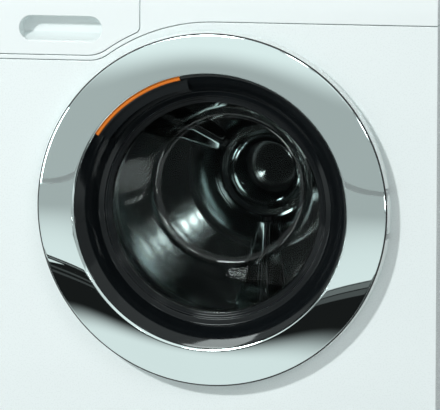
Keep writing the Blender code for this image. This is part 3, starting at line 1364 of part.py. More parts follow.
def tub_wall_z(x, way):
    """Height of the middle of the tub's wall above (way 1) or below (way -1) a place."""
    return DOOR_Z + way * math.sqrt((TUB_R - TUB_WALL / 2) ** 2 - x ** 2)


def tub_face(radius):
    """Depth of the tub's sloping front wall at a radius."""
    slope = TUB_SHOULDER / (TUB_R - TUB_CORNER - TUB_COLLAR_R)
    return TUB_FRONT + (radius - TUB_COLLAR_R) * slope


def make_weights(carrier):
    inner, outer = RING_WEIGHT_IN_R, RING_WEIGHT_OUT_R
    profile = [(inner, deep(RING_WEIGHT_FRONT)), (outer, deep(RING_WEIGHT_FRONT)),
               (outer, deep(tub_face(outer) - SEAT)), (inner, deep(tub_face(inner) - SEAT))]
    ring = turned(profile, TUB_STEPS, DOOR_CENTRE, start=-RING_WEIGHT_SWEEP / 2, sweep=RING_WEIGHT_SWEEP)
    piece("front_counterweight", ring, CONCRETE, 0.9, 0.0, carrier)
    low = (TOP_WEIGHT_X - TOP_WEIGHT_HALF, deep(TOP_WEIGHT_FRONT), TOP_WEIGHT_LOW_Z)
    high = (TOP_WEIGHT_X + TOP_WEIGHT_HALF, deep(TOP_WEIGHT_FRONT + TOP_WEIGHT_LONG), TOP_WEIGHT_Z)
    top = piece("top_counterweight", block(low, high), CONCRETE, 0.9, 0.0, carrier)
    cut(top, bar((0, low[1] - OVERRUN, DOOR_Z), (0, high[1] + OVERRUN, DOOR_Z), TUB_R + SEAT, TUB_STEPS),
        "saddle")


def make_heater(carrier):
    back = deep(WELL_FRONT + WELL_LONG)
    plate_back = back + SEAT + HEATER_PLATE
    tip = deep(WELL_FRONT) + TUB_WALL * 3
    bend = arc((0.0, tip + HEATER_HALF), HEATER_HALF, 180, 360, 6)
    legs = [(-HEATER_HALF, back)] + bend + [(HEATER_HALF, back)]
    route = [(x, y, HEATER_Z) for x, y in legs]
    plate_half = HEATER_WINDOW_HALF + TUB_WALL
    plate_tall = HEATER_WINDOW_TALL / 2 + TUB_WALL
    heater = piece("heater_element", block((-plate_half, back + SEAT, HEATER_Z - plate_tall),
                                           (plate_half, plate_back, HEATER_Z + plate_tall)),
                   STEEL, 0.4, 0.8, carrier)
    plug = block((SEAT - HEATER_WINDOW_HALF, back - TUB_WALL, HEATER_Z - HEATER_WINDOW_TALL / 2 + SEAT),
                 (HEATER_WINDOW_HALF - SEAT, back + SEAM, HEATER_Z + HEATER_WINDOW_TALL / 2 - SEAT))
    fuse(heater, plug, "plug")
    fuse(heater, tube(route, HEATER_R), "loop")
    return heater


def make_bearings(carrier):
    outer = HUB_R - TUB_WALL - SEAT
    front = TUB_BACK - TUB_WALL + SEAM
    back = HUB_BACK - TUB_WALL - SEAT
    inner = AXLE_R + PLAY
    profile = [(inner, front), (outer, front), (outer, back), (inner, back)]
    outline = [(radius, deep(depth)) for radius, depth in profile]
    return piece("shaft_bearings", turned(outline, MEDIUM_STEPS, DOOR_CENTRE), STEEL, 0.3, 0.9, carrier)


def make_drum(carrier):
    """Sheet-steel drum with a rolled mouth and a stepped back."""
    back = DRUM_BACK
    hub = back - DRUM_HUB_RISE
    path = [(DRUM_MOUTH_R + DRUM_CORNER, DRUM_FRONT + DRUM_CORNER * 2),
            (DRUM_MOUTH_R, DRUM_FRONT + DRUM_CORNER),
            (DRUM_MOUTH_R + DRUM_CORNER, DRUM_FRONT), (DRUM_R - DRUM_CORNER, DRUM_FRONT),
            (DRUM_R, DRUM_FRONT + DRUM_CORNER), (DRUM_R, back - DRUM_CORNER), (DRUM_R - DRUM_CORNER, back),
            (DRUM_HUB_R, back), (DRUM_HUB_R - DRUM_HUB_RISE, hub), (0.0, hub)]
    door_turned(path, DRUM_WALL, "drum_shell", (STEEL, 0.3, 0.95), carrier, DRUM_STEPS)
    for index in range(LIFTER_COUNT):
        make_lifter(index, carrier)
    make_spider(carrier)


def make_lifter(index, carrier):
    """Hollow paddle with a broad foot, a narrow crest and a ramp at its mouth end."""
    inner = DRUM_R - DRUM_WALL - SEAT
    seat = math.sqrt(inner ** 2 - LIFTER_HALF ** 2) - SEAM
    crest = inner - LIFTER_TALL
    outline = [(seat, -LIFTER_HALF), (seat, LIFTER_HALF), (seat - LIFTER_TALL * 0.25, LIFTER_HALF * 0.72),
               (crest + LIFTER_CREST / 2, LIFTER_CREST), (crest, LIFTER_CREST / 2),
               (crest, -LIFTER_CREST / 2),
               (crest + LIFTER_CREST / 2, -LIFTER_CREST), (seat - LIFTER_TALL * 0.25, -LIFTER_HALF * 0.72)]
    front, back = deep(LIFTER_FRONT), deep(LIFTER_FRONT + LIFTER_LONG)
    shape = prism(outline, "Y", front, back)
    for vert in shape.verts:
        if vert.co.y < (front + back) / 2:
            rise = seat - vert.co.x
            vert.co.y += rise * 0.6
    angle = LIFTER_PHASE + math.tau * index / LIFTER_COUNT
    turn = Matrix.Translation((0, 0, DOOR_Z)) @ Matrix.Rotation(-angle, 4, "Y")
    bmesh.ops.transform(shape, matrix=turn, verts=shape.verts)
    return piece(f"lifter_{index + 1}", shape, STEEL, 0.3, 0.9, carrier)


def make_spider(carrier):
    front = DRUM_BACK + SEAT
    back = front + SPIDER_THICK
    profile = [(AXLE_R + SEAT, front), (SPIDER_HUB_R, front), (SPIDER_HUB_R, back + SEAM * 2),
               (AXLE_R + SEAT, back + SEAM * 2)]
    spider = piece("drum_spider", turned([(radius, deep(depth)) for radius, depth in profile],
                                         MEDIUM_STEPS, DOOR_CENTRE), ALLOY, 0.5, 0.8, carrier)
    for index in range(LIFTER_COUNT):
        angle = LIFTER_PHASE + math.tau * (index + 0.5) / LIFTER_COUNT
        arm = prism([(SPIDER_HUB_R - SPIDER_THICK, -SPIDER_ROOT_HALF), (SPIDER_REACH, -SPIDER_TIP_HALF),
                     (SPIDER_REACH, SPIDER_TIP_HALF), (SPIDER_HUB_R - SPIDER_THICK, SPIDER_ROOT_HALF)],
                    "Y", deep(front), deep(back))
        turn = Matrix.Translation((0, 0, DOOR_Z)) @ Matrix.Rotation(-angle, 4, "Y")
        bmesh.ops.transform(arm, matrix=turn, verts=arm.verts)
        fuse(spider, arm, f"arm_{index}")
    return spider


def make_shaft(carrier):
    start = DRUM_BACK + SEAT * 2
    profile = [(0.0, start), (AXLE_R, start), (AXLE_R, AXLE_END - BOLT_HIGH - SEAM),
               (BOLT_R, AXLE_END - BOLT_HIGH), (BOLT_R, AXLE_END), (0.0, AXLE_END)]
    return piece("drum_shaft", turned([(radius, deep(depth)) for radius, depth in profile],
                                      MEDIUM_STEPS, DOOR_CENTRE), STEEL, 0.25, 0.95, carrier)


def make_pulley(carrier):
    front, back = deep(PULLEY_DEPTH), deep(PULLEY_DEPTH + PULLEY_WIDE)
    middle = (front + back) / 2
    rim = [(PULLEY_R - PULLEY_RIM, front), (PULLEY_R - SEAM, front), (PULLEY_R, middle),
           (PULLEY_R - SEAM, back), (PULLEY_R - PULLEY_RIM, back)]
    pulley = piece("drum_pulley", turned(rim, DRUM_STEPS, DOOR_CENTRE), ALLOY, 0.4, 0.8, carrier)
    hub = [(AXLE_R - SEAM, front), (PULLEY_HUB_R, front), (PULLEY_HUB_R, back), (AXLE_R - SEAM, back)]
    wheel = piece("wheel", turned(hub, MEDIUM_STEPS, DOOR_CENTRE), GREY, 0.5, 0.0)
    reach = PULLEY_R - PULLEY_RIM / 2
    for index in range(SPOKE_COUNT):
        outline = [(AXLE_R + SEAM, -SPOKE_HALF), (reach, -SPOKE_HALF), (reach, SPOKE_HALF),
                   (AXLE_R + SEAM, SPOKE_HALF)]
        spoke = prism(outline, "Y", middle - SPOKE_THICK / 2, middle + SPOKE_THICK / 2)
        turn = Matrix.Translation((0, 0, DOOR_Z)) @ Matrix.Rotation(math.tau * index / SPOKE_COUNT, 4, "Y")
        bmesh.ops.transform(spoke, matrix=turn, verts=spoke.verts)
        fuse(wheel, spoke, f"spoke_{index}")
    fuse(pulley, shape_of(wheel), "wheel")
    cut(pulley, bar((0, front - OVERRUN, DOOR_Z), (0, back + OVERRUN, DOOR_Z), AXLE_R + SEAT, MEDIUM_STEPS),
        "bore")
    return pulley


def motor_centre():
    return (MOTOR_X, MOTOR_Z)


def make_motor(carrier):
    front, back = deep(MOTOR_FRONT), deep(MOTOR_FRONT + MOTOR_LONG)
    nose = MOTOR_R * 0.45
    profile = [(0.0, front), (nose, front), (MOTOR_R - MOTOR_BELL / 2, front + MOTOR_BELL),
               (MOTOR_R, front + MOTOR_BELL), (MOTOR_R, back - MOTOR_BELL),
               (MOTOR_R - MOTOR_BELL / 2, back - MOTOR_BELL), (nose, back), (0.0, back)]
    motor = piece("drive_motor", turned(profile, MEDIUM_STEPS, motor_centre()), STEEL, 0.45, 0.7, carrier)
    ears = []
    for side in (-1, 1):
        x = MOTOR_X + side * MOTOR_EAR_REACH
        ears.append(block((x - MOTOR_EAR_HALF, deep(MOTOR_EAR_FRONT), MOTOR_EAR_Z - MOTOR_R / 3),
                          (x + MOTOR_EAR_HALF, deep(MOTOR_EAR_FRONT + MOTOR_EAR_LONG), MOTOR_EAR_Z)))
    fuse(motor, gathered(ears), "ears")
    cut(motor, bar((MOTOR_X, back - MOTOR_BORE_DEEP, MOTOR_Z), (MOTOR_X, back + OVERRUN, MOTOR_Z),
                   SPINDLE_R + PLAY), "bore")
    return motor


def make_motor_pulley(carrier):
    back_face = MOTOR_FRONT + MOTOR_LONG
    start = back_face - MOTOR_BORE_DEEP + SEAT
    low, high = PULLEY_DEPTH, PULLEY_DEPTH + PULLEY_WIDE
    profile = [(0.0, start), (SPINDLE_R, start), (SPINDLE_R, low), (MOTOR_PULLEY_R, low),
               (MOTOR_PULLEY_R, high), (0.0, high)]
    return piece("motor_pulley", turned([(radius, deep(depth)) for radius, depth in profile], SMALL_STEPS,
                                        motor_centre()), STEEL, 0.35, 0.9, carrier)


def belt_loop(grow):
    """Front view of the belt around both pulleys, grown by a distance."""
    big, small = Vector(DOOR_CENTRE), Vector(motor_centre())
    big_r, small_r = PULLEY_R + grow, MOTOR_PULLEY_R + grow
    run = small - big
    heading = math.degrees(math.atan2(run.y, run.x))
    wrap = math.degrees(math.acos((big_r - small_r) / run.length))
    return (arc(big, big_r, heading + wrap, heading + 360 - wrap, BELT_STEPS)
            + arc(small, small_r, heading - wrap, heading + wrap, BELT_STEPS // 3))


def make_belt(carrier):
    middle = deep(PULLEY_DEPTH) + PULLEY_WIDE / 2
    band = prism(belt_loop(PLAY + BELT_THICK), "Y", middle - BELT_WIDE / 2, middle + BELT_WIDE / 2)
    belt = piece("drive_belt", band, RUBBER, 0.7, 0.0, carrier)
    cut(belt, prism(belt_loop(PLAY), "Y", middle - BELT_WIDE, middle + BELT_WIDE), "inside")
    return belt


def make_springs():
    """Tension springs, each one unbroken wire with a hook at either end."""
    for side, name in ((-1, "suspension_spring_left"), (1, "suspension_spring_right")):
        x, y = side * SPRING_X, deep(SPRING_DEPTH)
        hook = arc((0, 0), HOOK_R, 0, 180, HOOK_STEPS)
        points = [(x + across, y, SPRING_LOW_Z + HOOK_R - rise) for across, rise in hook]
        coil_low = SPRING_LOW_Z + HOOK_RISE
        coil_top = SPRING_TOP_Z - HOOK_RISE
        count = SPRING_TURNS * SPRING_POINTS
        for index in range(count + 1):
            angle = math.pi + math.tau * index / SPRING_POINTS
            points.append((x + SPRING_R * math.cos(angle), y + SPRING_R * math.sin(angle),
                           coil_low + (coil_top - coil_low) * index / count))
        points += [(x + across, y, SPRING_TOP_Z - HOOK_R + rise) for across, rise in hook[::-1]]
        piece(name, tube(points, SPRING_WIRE_R), STEEL, 0.35, 0.9)
    pitch = (coil_top - coil_low) / SPRING_TURNS
    print("least gap between a spring's curls in mm:", round((pitch - 2 * SPRING_WIRE_R) * 1000, 2))


def damper_line(side):
    foot = Vector((side * DAMPER_FOOT_X, deep(DAMPER_DEPTH), DAMPER_FOOT_Z))
    head = Vector((side * DAMPER_HEAD_X, deep(DAMPER_DEPTH), DAMPER_HEAD_Z))
    return foot, head, (head - foot).normalized()


def eye(centre, radius):
    y = Vector((0, DAMPER_EYE_HALF, 0))
    return bar(centre - y, centre + y, radius)


def make_damper_cylinder(side, name, carrier):
    foot, head, way = damper_line(side)
    body = piece(name, eye(foot, DAMPER_EYE_R), DARK_GREY, 0.4, 0.0, carrier)
    fuse(body, bar(foot + way * DAMPER_NECK_START, foot + way * (DAMPER_SLEEVE_START + SEAM), DAMPER_NECK_R),
         "neck")
    fuse(body, bar(foot + way * DAMPER_SLEEVE_START, foot + way * DAMPER_SLEEVE_END, DAMPER_R), "sleeve")
    cut(body, bar(foot + way * DAMPER_BORE_START, foot + way * (DAMPER_SLEEVE_END + OVERRUN), DAMPER_BORE_R),
        "bore")
    cut(body, eye_hole(foot), "pin_hole")
    return body


def eye_hole(centre):
    y = Vector((0, DAMPER_EYE_HALF + OVERRUN, 0))
    return bar(centre - y, centre + y, DAMPER_PIN_R + DAMPER_PIN_PLAY)


def make_damper_rod(side, name, carrier):
    foot, head, way = damper_line(side)
    rod = piece(name, eye(head, DAMPER_EYE_R), STEEL, 0.3, 0.8, carrier)
    fuse(rod, bar(foot + way * DAMPER_ROD_START, head - way * DAMPER_NECK_START, DAMPER_ROD_R), "rod")
    cut(rod, eye_hole(head), "pin_hole")
    return rod


def make_sump_hose():
    """Ribbed hose from the tub's outlet down to the pump."""
    y = deep(OUTLET_DEPTH)
    top_z = WELL_Z - OUTLET_LONG - SEAT
    inlet = (PUMP_INLET_X - SEAT, deep(PUMP_INLET_DEPTH), PUMP_Z)
    straight = HOSE_R * 2
    run = y - inlet[1]
    knots = [(0, y, top_z), (0, y, top_z - straight)]
    for x_share, run_share, rise_share in HOSE_ROUTE_SHARES:
        rise = (top_z - straight - PUMP_Z) * rise_share
        knots.append((inlet[0] * x_share, y - run * run_share, PUMP_Z + rise))
    knots += [(inlet[0] - straight, inlet[1], PUMP_Z), inlet]
    points = smooth_route(knots, HOSE_RIBS * 2)
    last = len(points) - 1
    scales = [HOSE_RIB if 1 < index < last - 1 and index % 2 else 1.0 for index in range(last + 1)]
    hose = piece("sump_hose", tube(points, HOSE_R, scales, 2), RUBBER, 0.6, 0.0)
    run_in = Vector((0, 0, OVERRUN))
    run_out = Vector((OVERRUN, 0, 0))
    core = [points[0] + run_in] + points[1:-1:2] + [points[-2], points[-1] + run_out]
    cut(hose, tube(core, HOSE_BORE_R, None, 1), "bore")
    return hose


def make_dispenser_hose():
    """Short bellows from the dispenser down to the tub."""
    top = TRAY_LOW_Z - HOUSING_PLAY - HOUSING_WALL - SEAM
    low = SPOUT_TIP_Z - SPOUT_LONG * 0.6
    cuff = SPOUT_R + SEAM
    first = SPOUT_TIP_Z + SEAM
    last = top - SPOUT_LONG
    pitch = (last - first) / BELLOWS_COUNT
    path = [(cuff, top), (cuff, last)]
    for index in range(BELLOWS_COUNT):
        crest = last - pitch * (index + 0.5)
        path.append((BELLOWS_R, crest))
        path.append((cuff, crest - pitch / 2))
    path.append((cuff, low))
    outline = [(radius, z) for radius, z in strip(path, BELLOWS_WALL)]
    place = (SPOUT_X, deep(SPOUT_DEPTH))
    return piece("dispenser_hose", turned(outline, MEDIUM_STEPS, place, "Z"), RUBBER, 0.6, 0.0)


def make_inlet_valve():
    back = BACK_Y - SHEET - SEAT
    valve = piece("inlet_valve", block((VALVE_X - VALVE_HALF, back - VALVE_LONG, VALVE_Z - VALVE_HALF),
                                       (VALVE_X + VALVE_HALF, back, VALVE_Z + VALVE_HALF)), WHITE, 0.4, 0.0)
    end = DEPTH / 2
    spigot = [(0.0, back - SEAM), (VALVE_R - THREAD_DEPTH, back - SEAM)]
    first = end - THREAD_PITCH * THREAD_COUNT
    for index in range(THREAD_COUNT):
        place = first + THREAD_PITCH * index
        spigot += [(VALVE_R - THREAD_DEPTH, place), (VALVE_R, place + THREAD_PITCH / 2)]
    spigot += [(VALVE_R - THREAD_DEPTH, end), (0.0, end)]
    fuse(valve, turned(spigot, MEDIUM_STEPS, (VALVE_X, VALVE_Z)), "spigot")
    start = back - VALVE_LONG / 2
    cut(valve, bar((VALVE_X, start, VALVE_Z), (VALVE_X, end + OVERRUN, VALVE_Z), VALVE_BORE_R), "bore")
    return valve


def build_casing():
    make_base_tray()
    make_feet()
    make_side_panels()
    make_rear_panel()
    make_worktop_lid()
    make_front_panel()
    make_control_fascia()
    make_display()
    make_plinth()
    make_pump()
    make_dispenser_housing()
    make_inlet_valve()
    make_door_lock()
    make_hinge_bracket()


def build_door():
    axis = pivot("door_axis", (HINGE_X, deep(HINGE_DEPTH), DOOR_Z))
    make_door_ring(axis)
    make_door_bezel(axis)
    make_grip_accent(axis)
    make_door_glass(axis)
    make_door_back_frame(axis)
    make_hinge_arm(axis)
    make_catch(axis)


def build_controls():
    make_drawer(pivot("drawer_runner", (GRIP_CENTRE_X, PANEL_Y, GRIP_CENTRE_Z)))
    lean = math.pi / 2 - FASCIA_TILT
    make_knob(pivot("selector_axis", slanted(KNOB_X, CONTROL_Z).translation, None, lean))
    for name, x, colour in (("start_button", START_X, ORANGE), ("power_button", POWER_X, SILVER)):
        make_button(name, x, colour, pivot(name + "_axis", slanted(x, CONTROL_Z).translation, None, lean))
    make_flap(pivot("flap_axis", (PUMP_X, flap_axis_y(), FLAP_AXIS_Z)))
    make_filter_cap(pivot("cap_axis", (PUMP_X, deep(PUMP_FRONT), PUMP_Z)))


def build_washing_unit():
    hanging = pivot("tub_carrier", (0, deep(TUB_FRONT), DOOR_Z))
    make_tub_front(hanging)
    make_tub_rear(hanging)
    make_weights(hanging)
    make_heater(hanging)
    make_bearings(hanging)
    make_motor(hanging)
    make_belt(hanging)
    spinning = pivot("drum_axis", (0, deep(DRUM_BACK), DOOR_Z), hanging)
    make_drum(spinning)
    make_shaft(spinning)
    make_pulley(spinning)
    make_motor_pulley(pivot("motor_axis", (MOTOR_X, deep(MOTOR_FRONT + MOTOR_LONG), MOTOR_Z), hanging))
    for side, word in ((-1, "left"), (1, "right")):
        foot, head, way = damper_line(side)
        make_damper_cylinder(side, "damper_cylinder_" + word, pivot("damper_foot_" + word, foot))
        make_damper_rod(side, "damper_rod_" + word, pivot("damper_head_" + word, head, hanging))


def build_soft_links():
    make_springs()
    make_gasket()
    make_sump_hose()
    make_dispenser_hose()


clear_scene()
build_casing()
build_door()
build_controls()
build_washing_unit()
build_soft_links()
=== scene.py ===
import json
import math

import bmesh
import bpy
from mathutils import Matrix, Vector

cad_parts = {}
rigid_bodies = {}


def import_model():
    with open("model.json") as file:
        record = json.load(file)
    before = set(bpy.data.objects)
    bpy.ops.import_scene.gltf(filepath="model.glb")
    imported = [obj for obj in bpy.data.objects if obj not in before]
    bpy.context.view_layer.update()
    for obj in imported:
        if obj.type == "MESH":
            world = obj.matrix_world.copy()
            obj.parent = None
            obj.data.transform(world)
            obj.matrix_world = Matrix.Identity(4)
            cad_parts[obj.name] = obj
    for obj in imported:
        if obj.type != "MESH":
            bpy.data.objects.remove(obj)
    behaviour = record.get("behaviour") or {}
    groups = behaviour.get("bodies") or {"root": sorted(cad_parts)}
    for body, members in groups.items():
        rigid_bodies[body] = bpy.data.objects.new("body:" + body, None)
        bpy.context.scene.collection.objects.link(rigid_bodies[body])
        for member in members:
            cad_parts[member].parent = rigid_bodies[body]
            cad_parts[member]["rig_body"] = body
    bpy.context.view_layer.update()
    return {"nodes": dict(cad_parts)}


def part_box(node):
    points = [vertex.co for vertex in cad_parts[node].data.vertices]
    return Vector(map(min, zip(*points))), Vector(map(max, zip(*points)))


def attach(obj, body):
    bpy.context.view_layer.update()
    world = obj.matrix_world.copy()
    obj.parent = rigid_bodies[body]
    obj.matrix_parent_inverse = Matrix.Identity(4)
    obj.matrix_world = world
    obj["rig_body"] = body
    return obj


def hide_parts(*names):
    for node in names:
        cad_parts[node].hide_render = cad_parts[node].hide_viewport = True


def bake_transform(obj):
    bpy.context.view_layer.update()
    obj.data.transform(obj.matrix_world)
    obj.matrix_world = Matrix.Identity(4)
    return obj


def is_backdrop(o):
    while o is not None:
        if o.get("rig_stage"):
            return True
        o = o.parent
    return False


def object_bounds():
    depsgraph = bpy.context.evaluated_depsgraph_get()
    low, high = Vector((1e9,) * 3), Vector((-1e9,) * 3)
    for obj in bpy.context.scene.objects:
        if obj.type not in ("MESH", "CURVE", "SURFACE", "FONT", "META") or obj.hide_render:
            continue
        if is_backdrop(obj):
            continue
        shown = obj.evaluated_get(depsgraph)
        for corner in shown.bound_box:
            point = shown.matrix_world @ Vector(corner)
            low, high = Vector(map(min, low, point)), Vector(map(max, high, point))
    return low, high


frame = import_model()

cad = frame["nodes"]


# Base tray: a deep moulded tray of dark glass-filled plastic that stands on the four feet
# and carries the pump and the dampers. Its drawn shape stays and only takes its finish.
class Value:
    """A node's output that sums and products can be written with."""

    def __init__(self, finish, socket):
        self.finish = finish
        self.socket = socket

    def by(self, operation, *others):
        values = dict(enumerate((self,) + others))
        return self.finish.node("Math", {"operation": operation}, values)

    def __add__(self, other):
        return self.by("ADD", other)

    def __sub__(self, other):
        return self.by("SUBTRACT", other)

    def __rsub__(self, other):
        return self.finish.node("Math", {"operation": "SUBTRACT"}, {0: other, 1: self})

    def __mul__(self, other):
        return self.by("MULTIPLY", other)

    def __truediv__(self, other):
        return self.by("DIVIDE", other)

    def __gt__(self, other):
        return self.by("GREATER_THAN", other)

    def __lt__(self, other):
        return self.by("LESS_THAN", other)

    def __abs__(self):
        return self.by("ABSOLUTE")

    __radd__ = __add__
    __rmul__ = __mul__


class Finish:
    """A surface finish: one shader and the nodes that vary it over the surface."""

    def __init__(self, name, slot=None, shader="Principled BSDF", owner=None, **constants):
        self.slot = slot or name
        self.material = owner or bpy.data.materials.new(name)
        self.material.use_nodes = True
        self.tree = self.material.node_tree
        self.shader = self.tree.nodes[shader]
        for socket, value in constants.items():
            self.set(socket.replace("_", " "), value)
        self.place = self.node("TexCoord", {}, {}, "Generated" if owner else "Object")
        self.across, self.deep, self.high = [
            self.node("SeparateXYZ", {}, {0: self.place}, axis) for axis in (0, 1, 2)]

    def glow(self, level):
        """Turn the surface into a plain lamp face of this level."""
        lamp = self.node("Emission", {}, {"Color": (0.90, 1.0, 0.99), "Strength": level})
        self.tree.links.new(lamp.socket, self.tree.nodes["Material Output"].inputs["Surface"])

    def set(self, socket, value):
        """Give one of the shader's sockets a constant, or a value that varies."""
        self.join(self.shader.inputs[socket], value)

    def join(self, socket, value):
        if isinstance(value, Value):
            self.tree.links.new(value.socket, socket)
        elif isinstance(value, tuple) and len(value) == 3 and socket.type == "RGBA":
            socket.default_value = (*value, 1.0)
        else:
            socket.default_value = value

    def node(self, kind, settings, sockets, output=0):
        """Any node: its type, its settings, and the values or links of its sockets."""
        made = self.tree.nodes.new("ShaderNode" + kind)
        for setting, value in settings.items():
            setattr(made, setting, value)
        for socket, value in sockets.items():
            self.join(made.inputs[socket], value)
        return Value(self, made.outputs[output])

    def grain(self, scale, detail=2.0, stretch=None):
        """Noise from 0 to 1 whose lumps are about one over the scale in size, in metres."""
        place = self.place
        if stretch:
            place = self.node("VectorMath", {"operation": "MULTIPLY"}, {0: self.place, 1: stretch})
        return self.node("TexNoise", {}, {"Vector": place, "Scale": scale, "Detail": detail})

    def between(self, share, one, other):
        """A colour that changes from one to the other."""
        return self.node("Mix", {"data_type": "RGBA"}, {0: share, 6: one, 7: other}, 2)

    def coat(self, share, one, other, rough=None):
        """Colour that changes from one to the other by a share, and roughness."""
        self.set("Base Color", self.between(share, one, other))
        if rough is not None:
            self.set("Roughness", rough)

    def fading(self, value, start, end, low=0.0, high=1.0):
        """A level that goes softly from low, where a value is at its start, to high at its end."""
        return self.node("MapRange", {"interpolation_type": "SMOOTHSTEP"},
                         {"Value": value, "From Min": start, "From Max": end, "To Min": low, "To Max": high})

    def away(self, point):
        """Distance from a point, in metres."""
        return self.node("VectorMath", {"operation": "DISTANCE"}, {0: self.place, 1: point}, "Value")

    def relief(self, height, size):
        """Relief of a height from 0 to 1 that stands up by a size in metres."""
        self.set("Normal", self.node("Bump", {}, {"Height": height, "Distance": size}))


def dress(finish, *nodes):
    """Give drawn parts that keep their own shape a finish."""
    for name in nodes:
        for slot in cad[name].material_slots:
            slot.material = finish.material


dark_plastic = Finish("dark_plastic", Specular_IOR_Level=0.4)
fleck = dark_plastic.grain(2200.0, 3.0)
drift = dark_plastic.grain(14.0)
dark_plastic.coat(fleck * 0.4 + drift * 0.5, (0.011, 0.012, 0.013), (0.026, 0.028, 0.030),
                  0.42 + fleck * 0.2)
dark_plastic.relief(fleck, 0.00006)
dress(dark_plastic, "base_tray")


# Feet: four screw feet, each a ribbed rubber pad on a hexagon and a threaded stem that
# turns up into the tray.
MM = 0.001
SHARP = 35.0


def meshed(name, shape):
    """The shape as a mesh of this name, with all its faces turned outwards."""
    bmesh.ops.recalc_face_normals(shape, faces=shape.faces)
    mesh = bpy.data.meshes.new(name)
    shape.to_mesh(mesh)
    shape.free()
    return mesh


def placed(name, data, place=(0, 0, 0)):
    """A new object of this name in the scene."""
    thing = bpy.data.objects.new(name, data)
    thing.location = place
    bpy.context.scene.collection.objects.link(thing)
    return thing


def built(name, shape, finish, body, *nodes, sharp=SHARP):
    """A finished piece: its mesh, its finish, what it rides on and what it stands for."""
    mesh = meshed(name, shape)
    mesh.shade_smooth()
    mesh.set_sharp_from_angle(angle=math.radians(sharp))
    mesh.materials.append(finish.material)
    thing = placed(name, mesh)
    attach(thing, body)
    if nodes:
        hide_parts(*nodes)
    return thing


def bent(start, meet, end, shares):
    """Points of a soft bend between two runs, at shares of the way from its start to its end."""
    return [tuple((1 - share) ** 2 * start + 2 * share * (1 - share) * meet + share ** 2 * end)
            for share in shares]


def softened(outline, reach, steps=3, closed=True):
    """The outline with its sharp corners rounded, from this far before them to this far after."""
    eased = []
    for index, point in enumerate(outline):
        here = Vector(point)
        before = Vector(outline[index - 1]) - here
        after = Vector(outline[(index + 1) % len(outline)]) - here
        end = not closed and index in (0, len(outline) - 1)
        if end or before.angle(after, math.pi) > math.radians(164):
            eased.append(tuple(point))
            continue
        near = min(reach, before.length * 0.45, after.length * 0.45)
        eased += bent(here + before.normalized() * near, here, here + after.normalized() * near,
                      [step / steps for step in range(steps + 1)])
    return eased


def bridged(shape, loops):
    """Walls between loops of equal count, each closed on itself."""
    for near, far in zip(loops, loops[1:]):
        for index in range(len(near)):
            other = (index + 1) % len(near)
            shape.faces.new((near[index], near[other], far[other], far[index]))


def lofted(loops, endless=False):
    """A shape through loops of equal count, in millimetres: capped, or led back to its start."""
    shape = bmesh.new()
    rings = [[shape.verts.new(Vector(point) * MM) for point in loop] for loop in loops]
    bridged(shape, rings + rings[:1] if endless else rings)
    if not endless:
        shape.faces.new(rings[0])
        shape.faces.new(rings[-1])
    return shape


def spun(outline, steps, centre, upright=False, start=0.0, sweep=360.0):
    """A shape spun from a closed outline of (radius, place along the axis), in millimetres."""
    whole = sweep == 360.0
    loops = []
    for step in range(steps if whole else steps + 1):
        turn = math.radians(start + sweep * step / steps)
        across, up = math.cos(turn), math.sin(turn)
        loop = [(centre[0] + radius * across, centre[1] + radius * up, along) for radius, along in outline]
        loops.append(loop if upright else [(x, along, z) for x, z, along in loop])
    shape = lofted(loops, whole)
    bmesh.ops.remove_doubles(shape, verts=shape.verts, dist=0.00000005)
    return shape


def joined(*shapes):
    """Several shapes as one."""
    whole = bmesh.new()
    for shape in shapes:
        mesh = meshed("joined", shape)
        whole.from_mesh(mesh)
        bpy.data.meshes.remove(mesh)
    return whole


black_rubber = Finish("black_rubber", Specular_IOR_Level=0.3)
scuff = black_rubber.grain(60.0, 6.0)
black_rubber.coat(scuff, (0.012, 0.012, 0.013), (0.045, 0.045, 0.046), 0.62 + scuff * 0.25)
black_rubber.relief(black_rubber.grain(1800.0, 2.0), 0.00005)

FEET = {"foot_front_left": (-250, -229), "foot_front_right": (250, -229),
        "foot_rear_left": (-250, 252), "foot_rear_right": (250, 252)}
for node, place in FEET.items():
    pad = [(0, 0), (20, 0), (22, 1.6), (22, 6.6), (20.5, 8), (11, 8), (9.5, 9), (0, 9)]
    grooved = softened(pad, 0.8)
    hexagon = softened([(0, 9), (9, 9), (9, 16.5), (6, 16.5), (6, 19.7), (0, 19.7)], 0.4)
    stem = [(0, 19.7), (5, 19.7), (5, 35.7), (0, 35.7)]
    built(node.replace("foot", "screw_foot"),
          joined(spun(grooved, 48, place, True), spun(hexagon, 6, place, True), spun(stem, 24, place, True)),
          black_rubber, "cabinet", node)


# Side panels: cold-rolled steel sheets, 1 mm thick, folded at both ends and enamelled white.
# They are spot-welded to the rear panel and screwed to the tray.
painted_white = Finish("painted_white", Coat_Weight=0.25, Coat_Roughness=0.06, IOR=1.48)
cloud = painted_white.grain(5.0, 3.0)
peel = painted_white.grain(520.0, 1.0)
painted_white.coat(cloud, (0.775, 0.852, 0.850), (0.800, 0.868, 0.866), 0.24 + peel * 0.08)
painted_white.relief(peel, 0.000012)
dress(painted_white, "side_panel_left", "side_panel_right")


# Rear panel: bare zinc-coated steel with a large opening behind the drum. A dished cover with
# rolled rim closes the opening and comes off to reach the belt.
PANEL = -277.0
AXIS = (0.0, 432.0)

zinc_steel = Finish("zinc_steel", Metallic=0.85)
spangle = zinc_steel.node("TexVoronoi", {}, {"Vector": zinc_steel.place, "Scale": 260.0}, "Color")
spangle = zinc_steel.node("SeparateColor", {}, {0: spangle})
haze = zinc_steel.grain(24.0, 4.0)
zinc_steel.coat(spangle * 0.5 + haze * 0.5, (0.44, 0.46, 0.47), (0.54, 0.56, 0.57),
                0.30 + spangle * 0.10 + haze * 0.12)
zinc_steel.relief(zinc_steel.grain(1500.0, 1.0), 0.00001)
dress(zinc_steel, "rear_panel", "rear_access_cover", "hinge_bracket", "door_hinge_arm", "door_catch")


